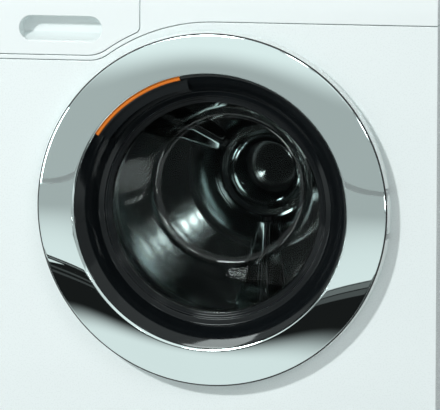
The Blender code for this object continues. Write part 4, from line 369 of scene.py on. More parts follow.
# Rear fittings: pan-head screws round the panel and its cover, zinc-coated as the sheet is, and
# four plugs of dark plastic that are pushed into the holes of the transit bolts.
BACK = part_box("rear_panel")[1].y / MM
SIDE_ROW, MIDDLE_ROW, RIM_ROW, FLANGE, PLUG_ROW = 288.0, 110.0, 167.0, 1.3, 205.0
head = softened([(0, -1.6), (3.6, -1.6), (3.6, 0.4), (2.6, 1.5), (1.4, 1.7), (1.2, 0.5), (0, 0.4)], 0.3)
RIM_SCREWS = 8
places = [(side * SIDE_ROW, height, BACK) for side in (-1, 1) for height in (70, 240, 430, 620, 800)]
places += [(side * MIDDLE_ROW, height, BACK) for side in (-1, 1) for height in (36, 806)]
for step in range(RIM_SCREWS):
    turn = math.tau * (step + 0.5) / RIM_SCREWS
    places.append((RIM_ROW * math.cos(turn), AXIS[1] + RIM_ROW * math.sin(turn), BACK + FLANGE))
screws = [spun([(r, y + d) for r, d in head], 24, (x, z)) for x, z, y in places]
built("rear_screws", joined(*screws), zinc_steel, "cabinet")
plug = softened([(0, -1.0), (15, -1.0), (15, 1.6), (12.5, 3.2), (10.5, 3.2), (9.5, 1.4), (0, 1.4)], 0.7)
plugs = [spun([(r, BACK + d) for r, d in plug], 40, (side * PLUG_ROW, height)) for side in (-1, 1)
         for height in (150, 690)]
built("transit_plugs", joined(*plugs), dark_plastic, "cabinet")


# Worktop lid: a white moulded frame round a hard laminate board, with a thin shadow line where
# the two meet. It clips over the side panels and is held by two screws at the back.
def parallel(path, distance, closed=True):
    """The path moved to its left by a distance, with mitred corners."""
    moved = []
    count = len(path)
    for index, point in enumerate(path):
        here = Vector(point)
        runs = []
        if closed or index > 0:
            runs.append((here - Vector(path[index - 1])).normalized())
        if closed or index < count - 1:
            runs.append((Vector(path[(index + 1) % count]) - here).normalized())
        normals = [Vector((-run.y, run.x)) for run in runs]
        mitre = sum(normals, Vector((0, 0))).normalized()
        moved.append(tuple(here + mitre * (distance / mitre.dot(normals[0]))))
    return moved


def corners(left, low, right, top):
    """Corners of a rectangle, anticlockwise."""
    return [(left, low), (right, low), (right, top), (left, top)]


white_plastic = Finish("white_plastic", IOR=1.5, Coat_Weight=0.15, Coat_Roughness=0.10)
fine = white_plastic.grain(900.0, 2.0)
tone = white_plastic.grain(7.0)
white_plastic.coat(tone, (0.790, 0.862, 0.860), (0.812, 0.876, 0.874), 0.26 + fine * 0.10)
white_plastic.relief(fine, 0.000014)

HALF, LID_FRONT, LID_BACK = 298.0, -262.0, 300.0


def lid_outline(inset):
    """Plan of the lid, drawn in by a distance, with corners that tighten on the way in."""
    x, front, back = HALF - inset, LID_FRONT + inset, LID_BACK - inset
    return softened(corners(-x, front, x, back), max(0.6, 5.0 - 0.8 * inset), 6)


edge = softened([(0, 820), (0, 850), (16, 850)], 4.0, 6, closed=False)
edge = edge[:-1] + [(14.0, 850), (14.3, 849.4), (15.0, 849.4), (15.3, 850), (18.0, 850)]
built("worktop", lofted([[(x, y, z) for x, y in lid_outline(inset)] for inset, z in edge]),
      white_plastic, "cabinet", "worktop_lid")


# Front panel: enamelled steel sheet with a folded edge all round. Its top edge follows the
# fascia: level at the left, round the door on an arc, and level again at the right.
def arc(centre, radius, start, end, steps):
    """Points of an arc, angles in degrees."""
    turns = [math.radians(start + (end - start) * step / steps) for step in range(steps + 1)]
    return [(centre[0] + radius * math.cos(turn), centre[1] + radius * math.sin(turn)) for turn in turns]


SEAM_ARC, SEAM_LEVEL = 248.5, 626.0


def seam(lift):
    """The seam between front panel and fascia, left to right, moved up by a distance."""
    radius, left = SEAM_ARC + lift, SEAM_LEVEL + lift
    corner = math.degrees(math.acos(-math.sqrt(radius ** 2 - (left - AXIS[1]) ** 2) / radius))
    turn = math.degrees(16.0 / radius)
    meet = Vector((radius * math.cos(math.radians(corner)), left))
    climb = arc(AXIS, radius, corner - turn, 90, 60)
    start, end = meet - Vector((16.0, 0)), Vector(climb[0])
    bend = bent(start, meet, end, [step / 8 for step in range(8)])
    return [(-HALF, left)] + bend + climb + [(HALF, AXIS[1] + radius)]


def pressed(borders, front, wall, edge, steps=5):
    """A sheet seen from the front whose edges are rounded and folded back.

    A border is an outline of (x, z) and the depth of its fold: the rim runs anticlockwise,
    holes clockwise.
    """
    shape = bmesh.new()
    faces, backs = [], []
    for outline, fold in borders:
        levels = [(0.0, front + wall)]
        if fold > wall:
            levels = [(wall, front + wall), (wall, front + fold), (0.0, front + fold)]
        for step in range(steps + 1):
            turn = math.pi / 2 * step / steps
            levels.append((edge * (1 - math.cos(turn)), front + edge * (1 - math.sin(turn))))
        levels.append((edge + 0.4, front))
        loops = [[shape.verts.new(Vector((x, y, z)) * MM) for x, z in parallel(outline, inset)]
                 for inset, y in levels]
        bridged(shape, loops)
        for loop, found in ((loops[0], backs), (loops[-1], faces)):
            found += [shape.edges.get((one, two)) for one, two in zip(loop, loop[1:] + loop[:1])]
    for found in (faces, backs):
        bmesh.ops.triangle_fill(shape, edges=found, use_beauty=True)
    return shape


def rectangle(left, low, right, top, radius, clockwise=False):
    """Outline of a rectangle with round corners."""
    outline = (arc((right - radius, low + radius), radius, -90, 0, 5)
               + arc((right - radius, top - radius), radius, 0, 90, 5)
               + arc((left + radius, top - radius), radius, 90, 180, 5)
               + arc((left + radius, low + radius), radius, 180, 270, 5))
    return outline[::-1] if clockwise else outline


SHEET, CORNER = 1.0, 1.5
DOOR_HOLE, PANEL_FOOT, LUGS, LUG = 175.0, 99.0, (458, 398), 8
sheet_edge = softened([(-HALF, PANEL_FOOT), (HALF, PANEL_FOOT)] + seam(-SHEET)[::-1], CORNER)
door_hole = arc(AXIS, DOOR_HOLE, 0, 360, 200)[:-1][::-1]
catch_slot = rectangle(-211, 423, -199, 446, CORNER, True)
lug_slots = [rectangle(210, low, 226, low + LUG, CORNER, True) for low in LUGS]
borders = [(sheet_edge, 20.0), (door_hole, 8.0), (catch_slot, SHEET)]
borders += [(slot, SHEET) for slot in lug_slots]
built("front_sheet", pressed(borders, PANEL, SHEET, 0.9), painted_white, "cabinet", "front_panel")


# Control fascia: one white moulding across the front. It is upright beside the drawer's grip
# and leans back above, where the controls sit.
BEND = 700.0
TILT = math.atan2(19.0, 120.0)


def fascia_y(z):
    """Depth of the fascia's face at a height, through a soft bend."""
    if z < BEND - 6:
        return PANEL
    if z < BEND + 6:
        return PANEL + (z - BEND + 6) ** 2 / 24 * math.tan(TILT)
    return PANEL + (z - BEND) * math.tan(TILT)


def leaned(shape, depth):
    """A sheet that was made upright and this deep, bent to the fascia's side view."""
    for height in range(-6, 7, 2):
        bmesh.ops.bisect_plane(shape, geom=shape.verts[:] + shape.edges[:] + shape.faces[:],
                               plane_co=(0, 0, (BEND + height) * MM), plane_no=(0, 0, 1))
    for vert in shape.verts:
        lean = (fascia_y(vert.co.z / MM) - PANEL) * MM
        vert.co.y = min(vert.co.y + lean, max((PANEL + depth) * MM, vert.co.y))
    return shape


DRAWER_LIFT = 5.5


def drawer_outline(inset):
    """Front view of the drawer's opening, drawn in by a distance, anticlockwise."""
    right, left, top = -100.2 - inset, -292.5 + inset, 811.7 - inset
    below = [point for point in seam(DRAWER_LIFT + inset) if left < point[0] < right - 5.0]
    corner = AXIS[1] + math.sqrt((SEAM_ARC + DRAWER_LIFT + inset) ** 2 - right ** 2)
    start, end = Vector(below[-1]), Vector((right, corner + 6.0))
    meet = Vector((right - 0.6, corner - 0.6))
    bend = bent(start, meet, end, (0.25, 0.5, 0.75, 1.0))
    return ([(left, SEAM_LEVEL + DRAWER_LIFT + inset)] + below + bend
            + softened([(right, top - 9), (right, top), (right - 9, top)], 2.5, 4, False)
            + softened([(left + 9, top), (left, top), (left, top - 9)], 2.5, 4, False))


CONTROLS, FASCIA_TOP, FASCIA_DEPTH, FASCIA_WALL = 759.0, 819.7, 42.0, 2.5
KNOB, DISPLAY, START, POWER = -22.0, 112.0, 206.0, 248.0
DISPLAY_WIDE, DISPLAY_TALL, DISPLAY_GAP, KEY_HOLE = 55.0, 19.0, 0.3, 9.1


def laid_on(shape, x):
    """The shape on the leaning face, at the controls' height: its own Z points out of the face."""
    place = (Matrix.Translation((x * MM, fascia_y(CONTROLS) * MM, CONTROLS * MM))
             @ Matrix.Rotation(math.pi / 2 - TILT, 4, "X"))
    bmesh.ops.transform(shape, matrix=place, verts=shape.verts)
    return shape


lean = math.cos(TILT)
fascia_rim = softened([(-HALF, FASCIA_TOP)] + seam(0.0) + [(HALF, FASCIA_TOP)], CORNER)
drawer_hole = drawer_outline(0.0)[::-1]
display_hole = rectangle(DISPLAY - DISPLAY_WIDE, CONTROLS - DISPLAY_TALL * lean,
                         DISPLAY + DISPLAY_WIDE, CONTROLS + DISPLAY_TALL * lean, 2.0, True)
key_holes = [[(x, CONTROLS + (z - CONTROLS) * lean) for x, z in
              arc((place, CONTROLS), KEY_HOLE, 360, 0, 48)[:-1]] for place in (START, POWER)]
borders = [(fascia_rim, FASCIA_DEPTH), (drawer_hole, FASCIA_DEPTH), (display_hole, FASCIA_WALL)]
borders += [(hole, FASCIA_WALL) for hole in key_holes]
fascia = leaned(pressed(borders, PANEL, FASCIA_WALL, 1.1), FASCIA_DEPTH)
built("fascia", fascia, white_plastic, "cabinet", "control_fascia")


# Display: a smoked window set flush in the fascia, with the figures of a time behind it, and the
# printed board that carries the display, the selector and the two keys.
def slab(outline, low, high):
    """A flat shape between two levels, from its outline seen from above."""
    return lofted([[(x, y, z) for x, y in outline] for z in (low, high)])


display_black = Finish("display_black", IOR=1.52, Coat_Weight=1.0, Coat_Roughness=0.03)
smoke = display_black.grain(40.0, 2.0)
display_black.coat(smoke, (0.006, 0.007, 0.008), (0.010, 0.012, 0.013), 0.08 + smoke * 0.05)
wide, tall = DISPLAY_WIDE - DISPLAY_GAP, DISPLAY_TALL - DISPLAY_GAP
pane = rectangle(-wide, -tall, wide, tall, 1.9)
window = lofted([[(x, y, z) for x, y in parallel(pane, inset)]
                 for inset, z in ((0, -1.2), (0, -0.3), (0.15, -0.08), (0.4, 0.0))])
built("display_window", laid_on(window, DISPLAY), display_black, "cabinet", "display_lens")

# The bars that each figure lights, and for each bar its place and whether it lies level.
SEGMENTS = {"1": "bc", "4": "bcfg", "5": "acdfg"}
BARS = {"a": (0, 6, 1), "b": (3, 3, 0), "c": (3, -3, 0), "d": (0, -6, 1), "f": (-3, 3, 0), "g": (0, 0, 1)}
BAR_HALF, BAR_THIN, BAR_LEVELS = 2.3, 0.55, (-0.02, 0.05)
display_glow = Finish("display_glow", "display_black", Roughness=0.4, Emission_Strength=0.9)
shimmer = display_glow.grain(700.0, 1.0)
display_glow.coat(shimmer, (0.30, 0.42, 0.44), (0.36, 0.48, 0.50))
display_glow.set("Emission Color", display_glow.between(shimmer, (0.55, 0.80, 0.84), (0.65, 0.88, 0.92)))
bars = []
for figure, shift in (("1", -18.0), ("4", 2.0), ("5", 14.0)):
    for bar in SEGMENTS[figure]:
        x, y, level = BARS[bar]
        wide, tall = (BAR_HALF, BAR_THIN) if level else (BAR_THIN, BAR_HALF)
        box = corners(x + shift - wide, y - tall, x + shift + wide, y + tall)
        bars.append(slab(softened(box, 0.5, 2), *BAR_LEVELS))
for up in (-2.6, 2.6):
    bars.append(slab(arc((-9.0, up), 0.8, 0, 360, 16)[:-1], *BAR_LEVELS))
built("display_figures", laid_on(joined(*bars), DISPLAY), display_glow, "cabinet")

circuit_board = Finish("circuit_board", Roughness=0.45)
trace = circuit_board.node("TexBrick", {"offset": 0.5}, {"Vector": circuit_board.place, "Scale": 220.0,
                                                          "Mortar Size": 0.03}, "Fac")
circuit_board.coat(trace, (0.012, 0.085, 0.035), (0.030, 0.16, 0.070))
circuit_board.relief(trace, 0.00005)
dress(circuit_board, "control_board")


# Programme selector: a knob turned from aluminium and polished, with a fluted skirt, a shallow
# dish and a pointer line. It snaps on the switch's shaft and turns all the way round.
chrome_trim = Finish("chrome_trim", Metallic=0.95)
brush = chrome_trim.grain(300.0, 3.0)
chrome_trim.coat(brush, (0.60, 0.63, 0.64), (0.70, 0.73, 0.74), 0.14 + brush * 0.10)

FLUTES, FLUTE_DEPTH, MARKS = 24, 0.018, 16
profile = [(0, -10.7), (3, -10.7), (3, 0.3), (27, 0.3), (27, 3.6), (26, 4.5), (23.4, 4.5), (21.6, 19),
           (20.6, 20), (18, 20), (16, 19), (0, 19)]
knob = spun(softened(profile, 0.6), 144, (0, 0), True)
for vert in knob.verts:
    out = math.hypot(vert.co.x, vert.co.y)
    if 0.0195 < out < 0.0245 and 0.0055 < vert.co.z < 0.0186:
        turn = math.atan2(vert.co.y, vert.co.x)
        dent = 1 - FLUTE_DEPTH * (0.5 + 0.5 * math.cos(FLUTES * turn))
        vert.co.x *= dent
        vert.co.y *= dent
built("selector", laid_on(knob, KNOB), chrome_trim, "selector", "selector_knob")
needle = softened([(-0.9, 10), (0.9, 10), (0.9, 19.6), (-0.9, 19.6)], 0.5, 2)
built("selector_pointer", laid_on(slab(needle, 18.0, 20.15), KNOB), display_black, "selector")

dial_print = Finish("dial_print", "display_black", Roughness=0.5)
ink = dial_print.grain(1600.0, 1.0)
dial_print.coat(ink, (0.10, 0.12, 0.13), (0.16, 0.18, 0.19))
marks = []
for step in range(MARKS):
    turn = math.radians(90 + 360 / MARKS * step)
    long = 4.5 if step % 4 == 0 else 2.6
    out, side = Vector((math.cos(turn), math.sin(turn))), Vector((-math.sin(turn), math.cos(turn))) * 0.35
    ends = [out * 31 - side, out * (31 + long) - side, out * (31 + long) + side, out * 31 + side]
    marks.append(slab(ends, -0.05, 0.06))
built("dial_marks", laid_on(joined(*marks), KNOB), dial_print, "cabinet")


# Keys: the round start key is orange and the power key is metal-coloured. Each is a domed cap on
# a flange behind the fascia and springs back when it is let go.
orange_plastic = Finish("orange_plastic", IOR=1.5, Coat_Weight=0.3, Coat_Roughness=0.12)
pigment = orange_plastic.grain(500.0, 3.0)
orange_plastic.coat(pigment, (0.64, 0.150, 0.004), (0.70, 0.180, 0.006), 0.30 + pigment * 0.10)
profile = [(0, -4.6), (10.3, -4.6), (10.3, -2.8), (8.5, -2.8), (8.5, 1.9), (7.6, 2.2), (6.6, 2.2),
           (5.4, 1.6), (0, 1.35)]
for name, place, finish in (("start", START, orange_plastic), ("power", POWER, chrome_trim)):
    key = laid_on(spun(softened(profile, 0.5), 64, (0, 0), True), place)
    built(name + "_key_cap", key, finish, name + "_key", name + "_button")


# Detergent drawer: a white front moulded to the fascia's side view, with a finger recess whose
# floor climbs towards the back. Behind it hangs a three-part tray with a blue siphon.
GRIP_X, GRIP_Z, GRIP_REACH, GRIP_RADIUS = -208.3, 667.5, 39.4, 16.8


def stadium(grow, steps=24):
    """Front view of the finger recess, grown by a distance, anticlockwise."""
    radius = GRIP_RADIUS + grow
    return (arc((GRIP_X + GRIP_REACH, GRIP_Z), radius, -90, 90, steps)
            + arc((GRIP_X - GRIP_REACH, GRIP_Z), radius, 90, 270, steps))


DRAWER_DEPTH, DRAWER_WALL = 31.0, 3.0
borders = [(drawer_outline(1.0), DRAWER_DEPTH), (stadium(0.0)[::-1], DRAWER_WALL)]
drawer_sheet = leaned(pressed(borders, PANEL, DRAWER_WALL, 1.1), DRAWER_DEPTH)
built("drawer_face", drawer_sheet, white_plastic, "drawer", "drawer_front")

floor_rise = 9.6 / 25.0
loops = [[(x, -250.2, z) for x, z in stadium(2.4)], [(x, -274.6, z) for x, z in stadium(2.4)]]
for y in (-274.6, -274.0, -270.0, -266.0, -262.0, -258.0, -255.0, -253.4, -252.4, -252.0):
    shrink = 0.0 if y < -255.0 else 3.0 - math.sqrt(max(0.0, 9.0 - (y + 255.0) ** 2))
    low = GRIP_Z - GRIP_RADIUS + (y - PANEL) * floor_rise
    loops.append([(x, y, max(z, low)) for x, z in stadium(-shrink)])
built("drawer_grip", lofted(loops), white_plastic, "drawer", sharp=50.0)

pale_plastic = Finish("pale_plastic", IOR=1.48)
milk = pale_plastic.grain(30.0, 3.0)
pale_plastic.coat(milk, (0.58, 0.63, 0.65), (0.66, 0.71, 0.72), 0.34 + milk * 0.14)
pale_plastic.relief(pale_plastic.grain(1200.0, 2.0), 0.00003)
blue_plastic = Finish("blue_plastic", IOR=1.48)
dye = blue_plastic.grain(400.0, 2.0)
blue_plastic.coat(dye, (0.012, 0.085, 0.34), (0.020, 0.11, 0.40), 0.30 + dye * 0.12)
grey_plastic = Finish("grey_plastic", IOR=1.48)
filler = grey_plastic.grain(1400.0, 3.0)
flow = grey_plastic.grain(9.0, 4.0)
grey_plastic.coat(flow, (0.155, 0.170, 0.178), (0.200, 0.215, 0.222), 0.42 + filler * 0.16)
grey_plastic.relief(filler, 0.00005)
dress(pale_plastic, "drawer_tray", "inlet_valve")
dress(blue_plastic, "drawer_siphon")
dress(grey_plastic, "dispenser_housing", "drain_pump", "tub_front_shell", "tub_rear_shell")


# Plinth and service flap: white mouldings along the floor. The flap tips down on two pins in
# front of the drain pump's cap.
PLINTH, PLINTH_FOOT, PLINTH_TOP = -274.0, 22.0, 98.0
FLAP_LEFT, FLAP_FOOT, FLAP_RIGHT, FLAP_TOP, FLAP_GAP = 110.0, 31.0, 230.0, 89.0, 1.5
plinth_edge = softened(corners(-HALF, PLINTH_FOOT, HALF, PLINTH_TOP), CORNER)
opening = rectangle(FLAP_LEFT - FLAP_GAP, FLAP_FOOT - FLAP_GAP, FLAP_RIGHT + FLAP_GAP, FLAP_TOP + FLAP_GAP,
                    5.0, True)
plinth = pressed([(plinth_edge, 17.0), (opening, 2.0)], PLINTH, 1.5, 1.0)
built("plinth", plinth, white_plastic, "cabinet", "plinth_panel")
flap = rectangle(FLAP_LEFT, FLAP_FOOT, FLAP_RIGHT, FLAP_TOP, 6.0)
levels = [(0.0, PLINTH + 3.0), (0.0, PLINTH + 0.8), (0.25, PLINTH + 0.25), (0.9, PLINTH)]
shape = lofted([[(x, y, z) for x, z in parallel(flap, inset)] for inset, y in levels])
built("service_door", shape, white_plastic, "flap", "service_flap")
dress(dark_plastic, "drain_filter_cap", "door_lock")


# Door ring: a dished ring of plastic plated to look like brushed steel. Its face rises from a
# thin hem to a rolled lip round the window, and the whole ring clips to the frame behind.
def round_door(outline, steps=240, **turns):
    """A shape spun round the door's axis, from (radius, depth behind the front panel's face)."""
    return spun([(radius, depth + PANEL) for radius, depth in outline], steps, AXIS, **turns)


silver_ring = Finish("silver_ring", Metallic=1.0)
satin = silver_ring.grain(420.0, 4.0)
sweep = silver_ring.grain(6.0, 2.0)
silver_ring.coat(sweep, (0.72, 0.79, 0.785), (0.76, 0.83, 0.825), 0.015 + satin * 0.02)

LIP_RADIUS, FACE_WIDTH, LIP_PROUD, FALL, BULGE, WALL = 185.2, 48.6, 41.0, 16.6, 6.4, 2.1
face = []
for step in range(25):
    share = step / 24
    bulge = BULGE * share * (1 - share)
    face.append((LIP_RADIUS + FACE_WIDTH * share, FALL * share - LIP_PROUD - bulge))
outer = [(182.4, -37.0), (182.4, -38.0), (184.6, -40.5)] + face + [(233.8, -22.0)]
inner = [(184.4, -37.0), (184.5, -38.3), (185.4, -39.0)]
inner += [(radius, outer[index][1] + WALL) for radius, index in ((205.0, 14), (220.0, 21), (231.6, -2))]
inner += [(231.8, -22.0)]
built("door_face", round_door(softened(outer + inner[::-1], 0.5)), silver_ring, "door", "door_ring")


# Ring seam: a thin bead of black rubber, squeezed between the ring's hem and the frame behind it.
# Its black is painted shade: the bead stands in for the shaded gap and dark edge between ring and frame.
bead = softened([(232.4, -22.2), (234.8, -23.2), (235.7, -22.6), (235.5, -21.2), (232.4, -21.2)], 0.4)
built("gap_shade_bead", round_door(bead), black_rubber, "door")


# Bezel: the black glossy cone between the ring and the window, with a pocket behind the ring's lip
# at the upper left for the fingers that pull the door open.
def taken_back(*things):
    """The first object as a shape, as its modifiers or bevel leave it; all of them are removed."""
    bpy.context.view_layer.update()
    solid = things[0].evaluated_get(bpy.context.evaluated_depsgraph_get())
    shape = bmesh.new()
    shape.from_mesh(bpy.data.meshes.new_from_object(solid))
    for thing in things:
        bpy.data.objects.remove(thing, do_unlink=True)
    return shape


def carved(shape, *cutters, operation="DIFFERENCE"):
    """The shape with others taken out of it, or joined to it by a union."""
    things = [placed("carving", meshed("carving", part)) for part in (shape,) + cutters]
    for cutter in things[1:]:
        step = things[0].modifiers.new("carve", "BOOLEAN")
        step.operation, step.solver, step.object = operation, "EXACT", cutter
    return taken_back(*things)


def walled(path, thickness):
    """Closed outline of a sheet that follows a path and lies to its left."""
    return path + parallel(path, thickness, False)[::-1]


black_gloss = Finish("black_gloss", IOR=1.38)
swirl = black_gloss.grain(90.0, 4.0)
black_gloss.coat(swirl, (0.003, 0.004, 0.005), (0.006, 0.008, 0.009), 0.07 + swirl * 0.05)

path = [(149.5, 3.9), (149.5, 1.0), (156.8, -1.0), (160.3, -8.4), (163.9, -15.2), (168.0, -21.5),
        (170.4, -24.6), (173.1, -27.7), (176.1, -30.8), (179.3, -33.8), (182.4, -36.7)]
cone = round_door(softened(walled(path, 2.5), 0.8))
box = [(164.5, -31.5), (207.0, -31.5), (207.0, -9.0), (159.0, -9.0)]
pocket = round_door(box, 60, start=100.0, sweep=46.0)
room = [(152.8, -29), (204.5, -29), (204.5, -11.5), (152.8, -11.5)]
hollow = round_door(softened(room, 1.2), 60, start=106.5, sweep=38.5)
cone = carved(carved(cone, pocket, operation="UNION"), hollow)
built("window_bezel", cone, black_gloss, "door", "door_bezel", sharp=30.0)


# Grip accent: an orange strip let into the lip above the finger pocket, to show where to pull.
strip = softened([(178.0, -36.2), (178.8, -39.2), (182.2, -39.6), (182.2, -36.9)], 0.7)
built("grip_strip", round_door(strip, 90, start=102.5, sweep=44.0), orange_plastic, "door", "grip_accent")


# Window: a pressed borosilicate glass bowl that reaches into the drum's mouth and keeps the
# laundry off the gasket. Its flange is clamped between bezel and frame.
window_glass = Finish("window_glass", Transmission_Weight=1.0, IOR=1.47, Roughness=0.0)
draw = window_glass.grain(11.0, 1.0)
window_glass.coat(draw, (0.93, 0.965, 0.955), (0.955, 0.98, 0.975))

BOWL_DEPTH, BOWL_CORNER, BOWL_LIFT, WINDOW_FLANGE = 115.0, 15.0, 12.0, 6.0
path = [(step * 9.0, BOWL_DEPTH) for step in range(10)]
path += arc((94, BOWL_DEPTH - BOWL_CORNER), BOWL_CORNER, 90, 18.9, 12)
path += softened([(path[-1][0] + 0.01, path[-1][1] - 0.03), (142.0, 4.2), (164.2, 4.2)], 9.0, 8, False)[1:]
bowl = round_door(walled(path, 5.0), 200)
for vert in bowl.verts:
    behind = vert.co.y / MM - PANEL - WINDOW_FLANGE
    vert.co.z += BOWL_LIFT * MM * min(1.0, max(0.0, behind / (BOWL_DEPTH - BOWL_CORNER - WINDOW_FLANGE)))
built("window_bowl", bowl, window_glass, "door", "door_glass", sharp=60.0)


# Glazing seal: a ring of smooth black rubber on the window's flange. Its three fine lips press on
# the bezel and keep water in the drum.
seal = [(141.2, 4.1), (141.2, 3.2), (142.0, 2.6), (142.8, 3.0), (144.4, 3.0), (145.2, 2.2), (146.0, 3.0),
        (147.6, 3.0), (148.4, 2.0), (149.2, 2.6), (149.2, 4.1)]
built("glazing_seal", round_door(softened(seal, 0.5), 200), black_gloss, "door")


# Door frame: the silver-white pan behind the ring. It makes the door's outer rim, takes the hinge
# and the catch, and its collar clamps the window.
silver_frame = Finish("silver_frame", IOR=1.5, Metallic=0.1, Coat_Weight=0.2, Coat_Roughness=0.1)
mica = silver_frame.grain(1500.0, 2.0)
silver_frame.coat(mica, (0.84, 0.90, 0.89), (0.88, 0.94, 0.93), 0.26 + mica * 0.1)
path = [(229.5, -21.0), (234.4, -21.0), (237.6, -4.6), (229, -0.6), (167, -0.6), (167, 12), (148.5, 12)]
frame_pan = round_door(softened(walled(path, 2.5), 1.1))
slots = []
hinge_slots = [(210.8, low, 244.0, low + LUG, PANEL - 22.0) for low in LUGS]
catch_window = (-208.3, 425.7, -201.7, 438.3, PANEL - 6.5)
for *box, front in hinge_slots + [catch_window]:
    slots.append(lofted([[(x, y, z) for x, z in corners(*box)] for y in (front, PANEL + 4.0)]))
built("door_pan", carved(frame_pan, *slots), silver_frame, "door", "door_back_frame")


# Gasket: a soft grey bellows between front panel and tub. Its bead grips the panel's collar, its
# lip seals on the window, and its fold lets the tub swing.
grey_rubber = Finish("grey_rubber", Specular_IOR_Level=0.35, Sheen_Weight=0.1)
bloom = grey_rubber.grain(22.0, 4.0)
skin_grain = grey_rubber.grain(1600.0, 2.0)
grey_rubber.coat(bloom, (0.20, 0.215, 0.225), (0.27, 0.285, 0.29), 0.52 + bloom * 0.2)
grey_rubber.relief(skin_grain, 0.00004)
path = [(178.8, 2.0), (178.8, 10.8), (170.0, 16.5), (148.3, 18.0), (148.3, 20.0), (167.8, 24.0),
        (168.8, 34.0), (184.5, 35.0), (187.0, 40.5), (184.5, 46.0), (168.8, 50.5), (168.8, 61.0)]
bellow = round_door(walled(softened(path, 3.0, 6, False), 2.5), 160)
gasket = built("gasket", bellow, grey_rubber, "cabinet", "door_gasket")


# Drum: polished stainless sheet with faint beads round its wall, a rolled mouth and a dished back
# with three pressed arms and a hub. It hangs on the shaft by a three-armed casting.
drum_steel = Finish("drum_steel", Metallic=1.0)
polish = drum_steel.grain(30.0, 4.0, (1.0, 8.0, 1.0))
drum_steel.coat(polish, (0.56, 0.61, 0.61), (0.64, 0.69, 0.69), 0.10 + polish * 0.015)
DRUM_RADIUS, WALL_BEAD, BACK_BEAD, ARM_DEPTH = 240.0, 0.015, 0.02, 15.0
path = [(154, 83), (150, 79), (154, 75), (236, 75), (DRUM_RADIUS, 79)]
for step in range(46):
    bead = WALL_BEAD * (0.5 - 0.5 * math.cos(math.tau * step / 5)) ** 3
    path.append((DRUM_RADIUS - bead, 84.0 + 304.0 * step / 45))
path += [(DRUM_RADIUS, 391), (238.5, 393.5), (236, 393.5), (234.5, 391), (233.5, 370), (231, 367.8)]
for step in range(37):
    share = step / 36
    bead = BACK_BEAD * (0.5 - 0.5 * math.cos(math.tau * share * 9)) ** 3
    path.append((229.0 - 115.0 * share, 368.0 + 26.0 * share - bead))
path += [(78, 394), (74, 393), (71.5, 390.2), (68, 389.4), (65, 391), (56, 391), (51, 388), (48, 382.5)]
path += [(45, 380.6), (40, 379.6), (32, 378.4), (24, 377.4), (16, 376.8), (8, 376.4), (0, 376.2)]
shape = round_door(walled(path, 1.5), 252)
for vert in shape.verts:
    x, z = vert.co.x / MM - AXIS[0], vert.co.z / MM - AXIS[1]
    out = math.hypot(x, z)
    if vert.co.y / MM - PANEL > 362.0 and 70.0 < out < 232.0:
        turn = (math.degrees(math.atan2(z, x)) - 30.0 + 60.0) % 120.0 - 60.0
        roof = max(0.0, 1 - abs(math.radians(turn)) * out / (13.0 + 0.2 * (out - 70.0)))
        rise = min(1.0, (out - 70.0) / 26.0) * min(1.0, (232.0 - out) / 10.0)
        vert.co.y -= ARM_DEPTH * MM * min(roof, 0.82) * rise
built("drum", shape, drum_steel, "drum", "drum_shell", sharp=24.0)
dress(drum_steel, "lifter_1", "lifter_2", "lifter_3")


# Drive: the cast spider, the steel shaft and its bearings, the large pulley, and the motor with
# its small pulley, joined by a ribbed belt.
cast_alloy = Finish("cast_alloy", Metallic=0.8)
sand = cast_alloy.grain(700.0, 4.0)
cast_alloy.coat(sand, (0.34, 0.35, 0.36), (0.46, 0.47, 0.48), 0.40 + sand * 0.2)
cast_alloy.relief(sand, 0.00008)
spring_steel = Finish("spring_steel", Metallic=0.95)
oil = spring_steel.grain(120.0, 3.0)
spring_steel.coat(oil, (0.28, 0.29, 0.30), (0.38, 0.39, 0.40), 0.24 + oil * 0.2)
dress(cast_alloy, "drum_spider", "drum_pulley", "drive_motor")
dress(spring_steel, "drum_shaft", "motor_pulley", "shaft_bearings", "heater_element",
      "damper_rod_left", "damper_rod_right")
dress(dark_plastic, "damper_cylinder_left", "damper_cylinder_right")

RIBS, BELT_BACK = 5, 3.0
small, wheel = Vector((150.0, 135.0)), Vector(AXIS)
run = small - wheel
heading = math.degrees(math.atan2(run.y, run.x))


def round_both(grow):
    """Front view of a loop round the two pulleys, grown by a distance."""
    wide, narrow = 150.6 + grow, 13.1 + grow
    wrap = math.degrees(math.acos((wide - narrow) / run.length))
    return (arc(wheel, wide, heading + wrap, heading + 360 - wrap, 120)
            + arc(small, narrow, heading - wrap, heading + wrap, 24))


middle = PANEL + 482.0
loops = [[(x, middle + y, z) for x, z in round_both(out)]
         for out, y in [(BELT_BACK - 0.4, -5.5), (BELT_BACK, -5.1), (BELT_BACK, 5.1), (BELT_BACK - 0.4, 5.5)]
         + [(0.9 if index % 2 else 0.0, 5.5 - 11.0 * index / (2 * RIBS)) for index in range(2 * RIBS + 1)]]
built("ribbed_belt", lofted(loops, True), black_rubber, "tub", "drive_belt")


# Counterweights: cast concrete, one ring bolted to the tub's front and one block on its top. Their
# weight keeps the tub calm while the drum spins.
cast_concrete = Finish("cast_concrete", Specular_IOR_Level=0.2)
stone = cast_concrete.grain(160.0, 8.0)
pore = cast_concrete.node("TexVoronoi", {}, {"Vector": cast_concrete.place, "Scale": 240.0})
cast_concrete.coat(stone, (0.20, 0.19, 0.175), (0.34, 0.33, 0.31), 0.80 + stone * 0.15)
cast_concrete.relief(stone * 0.7 + pore, 0.0006)
dress(cast_concrete, "front_counterweight", "top_counterweight")


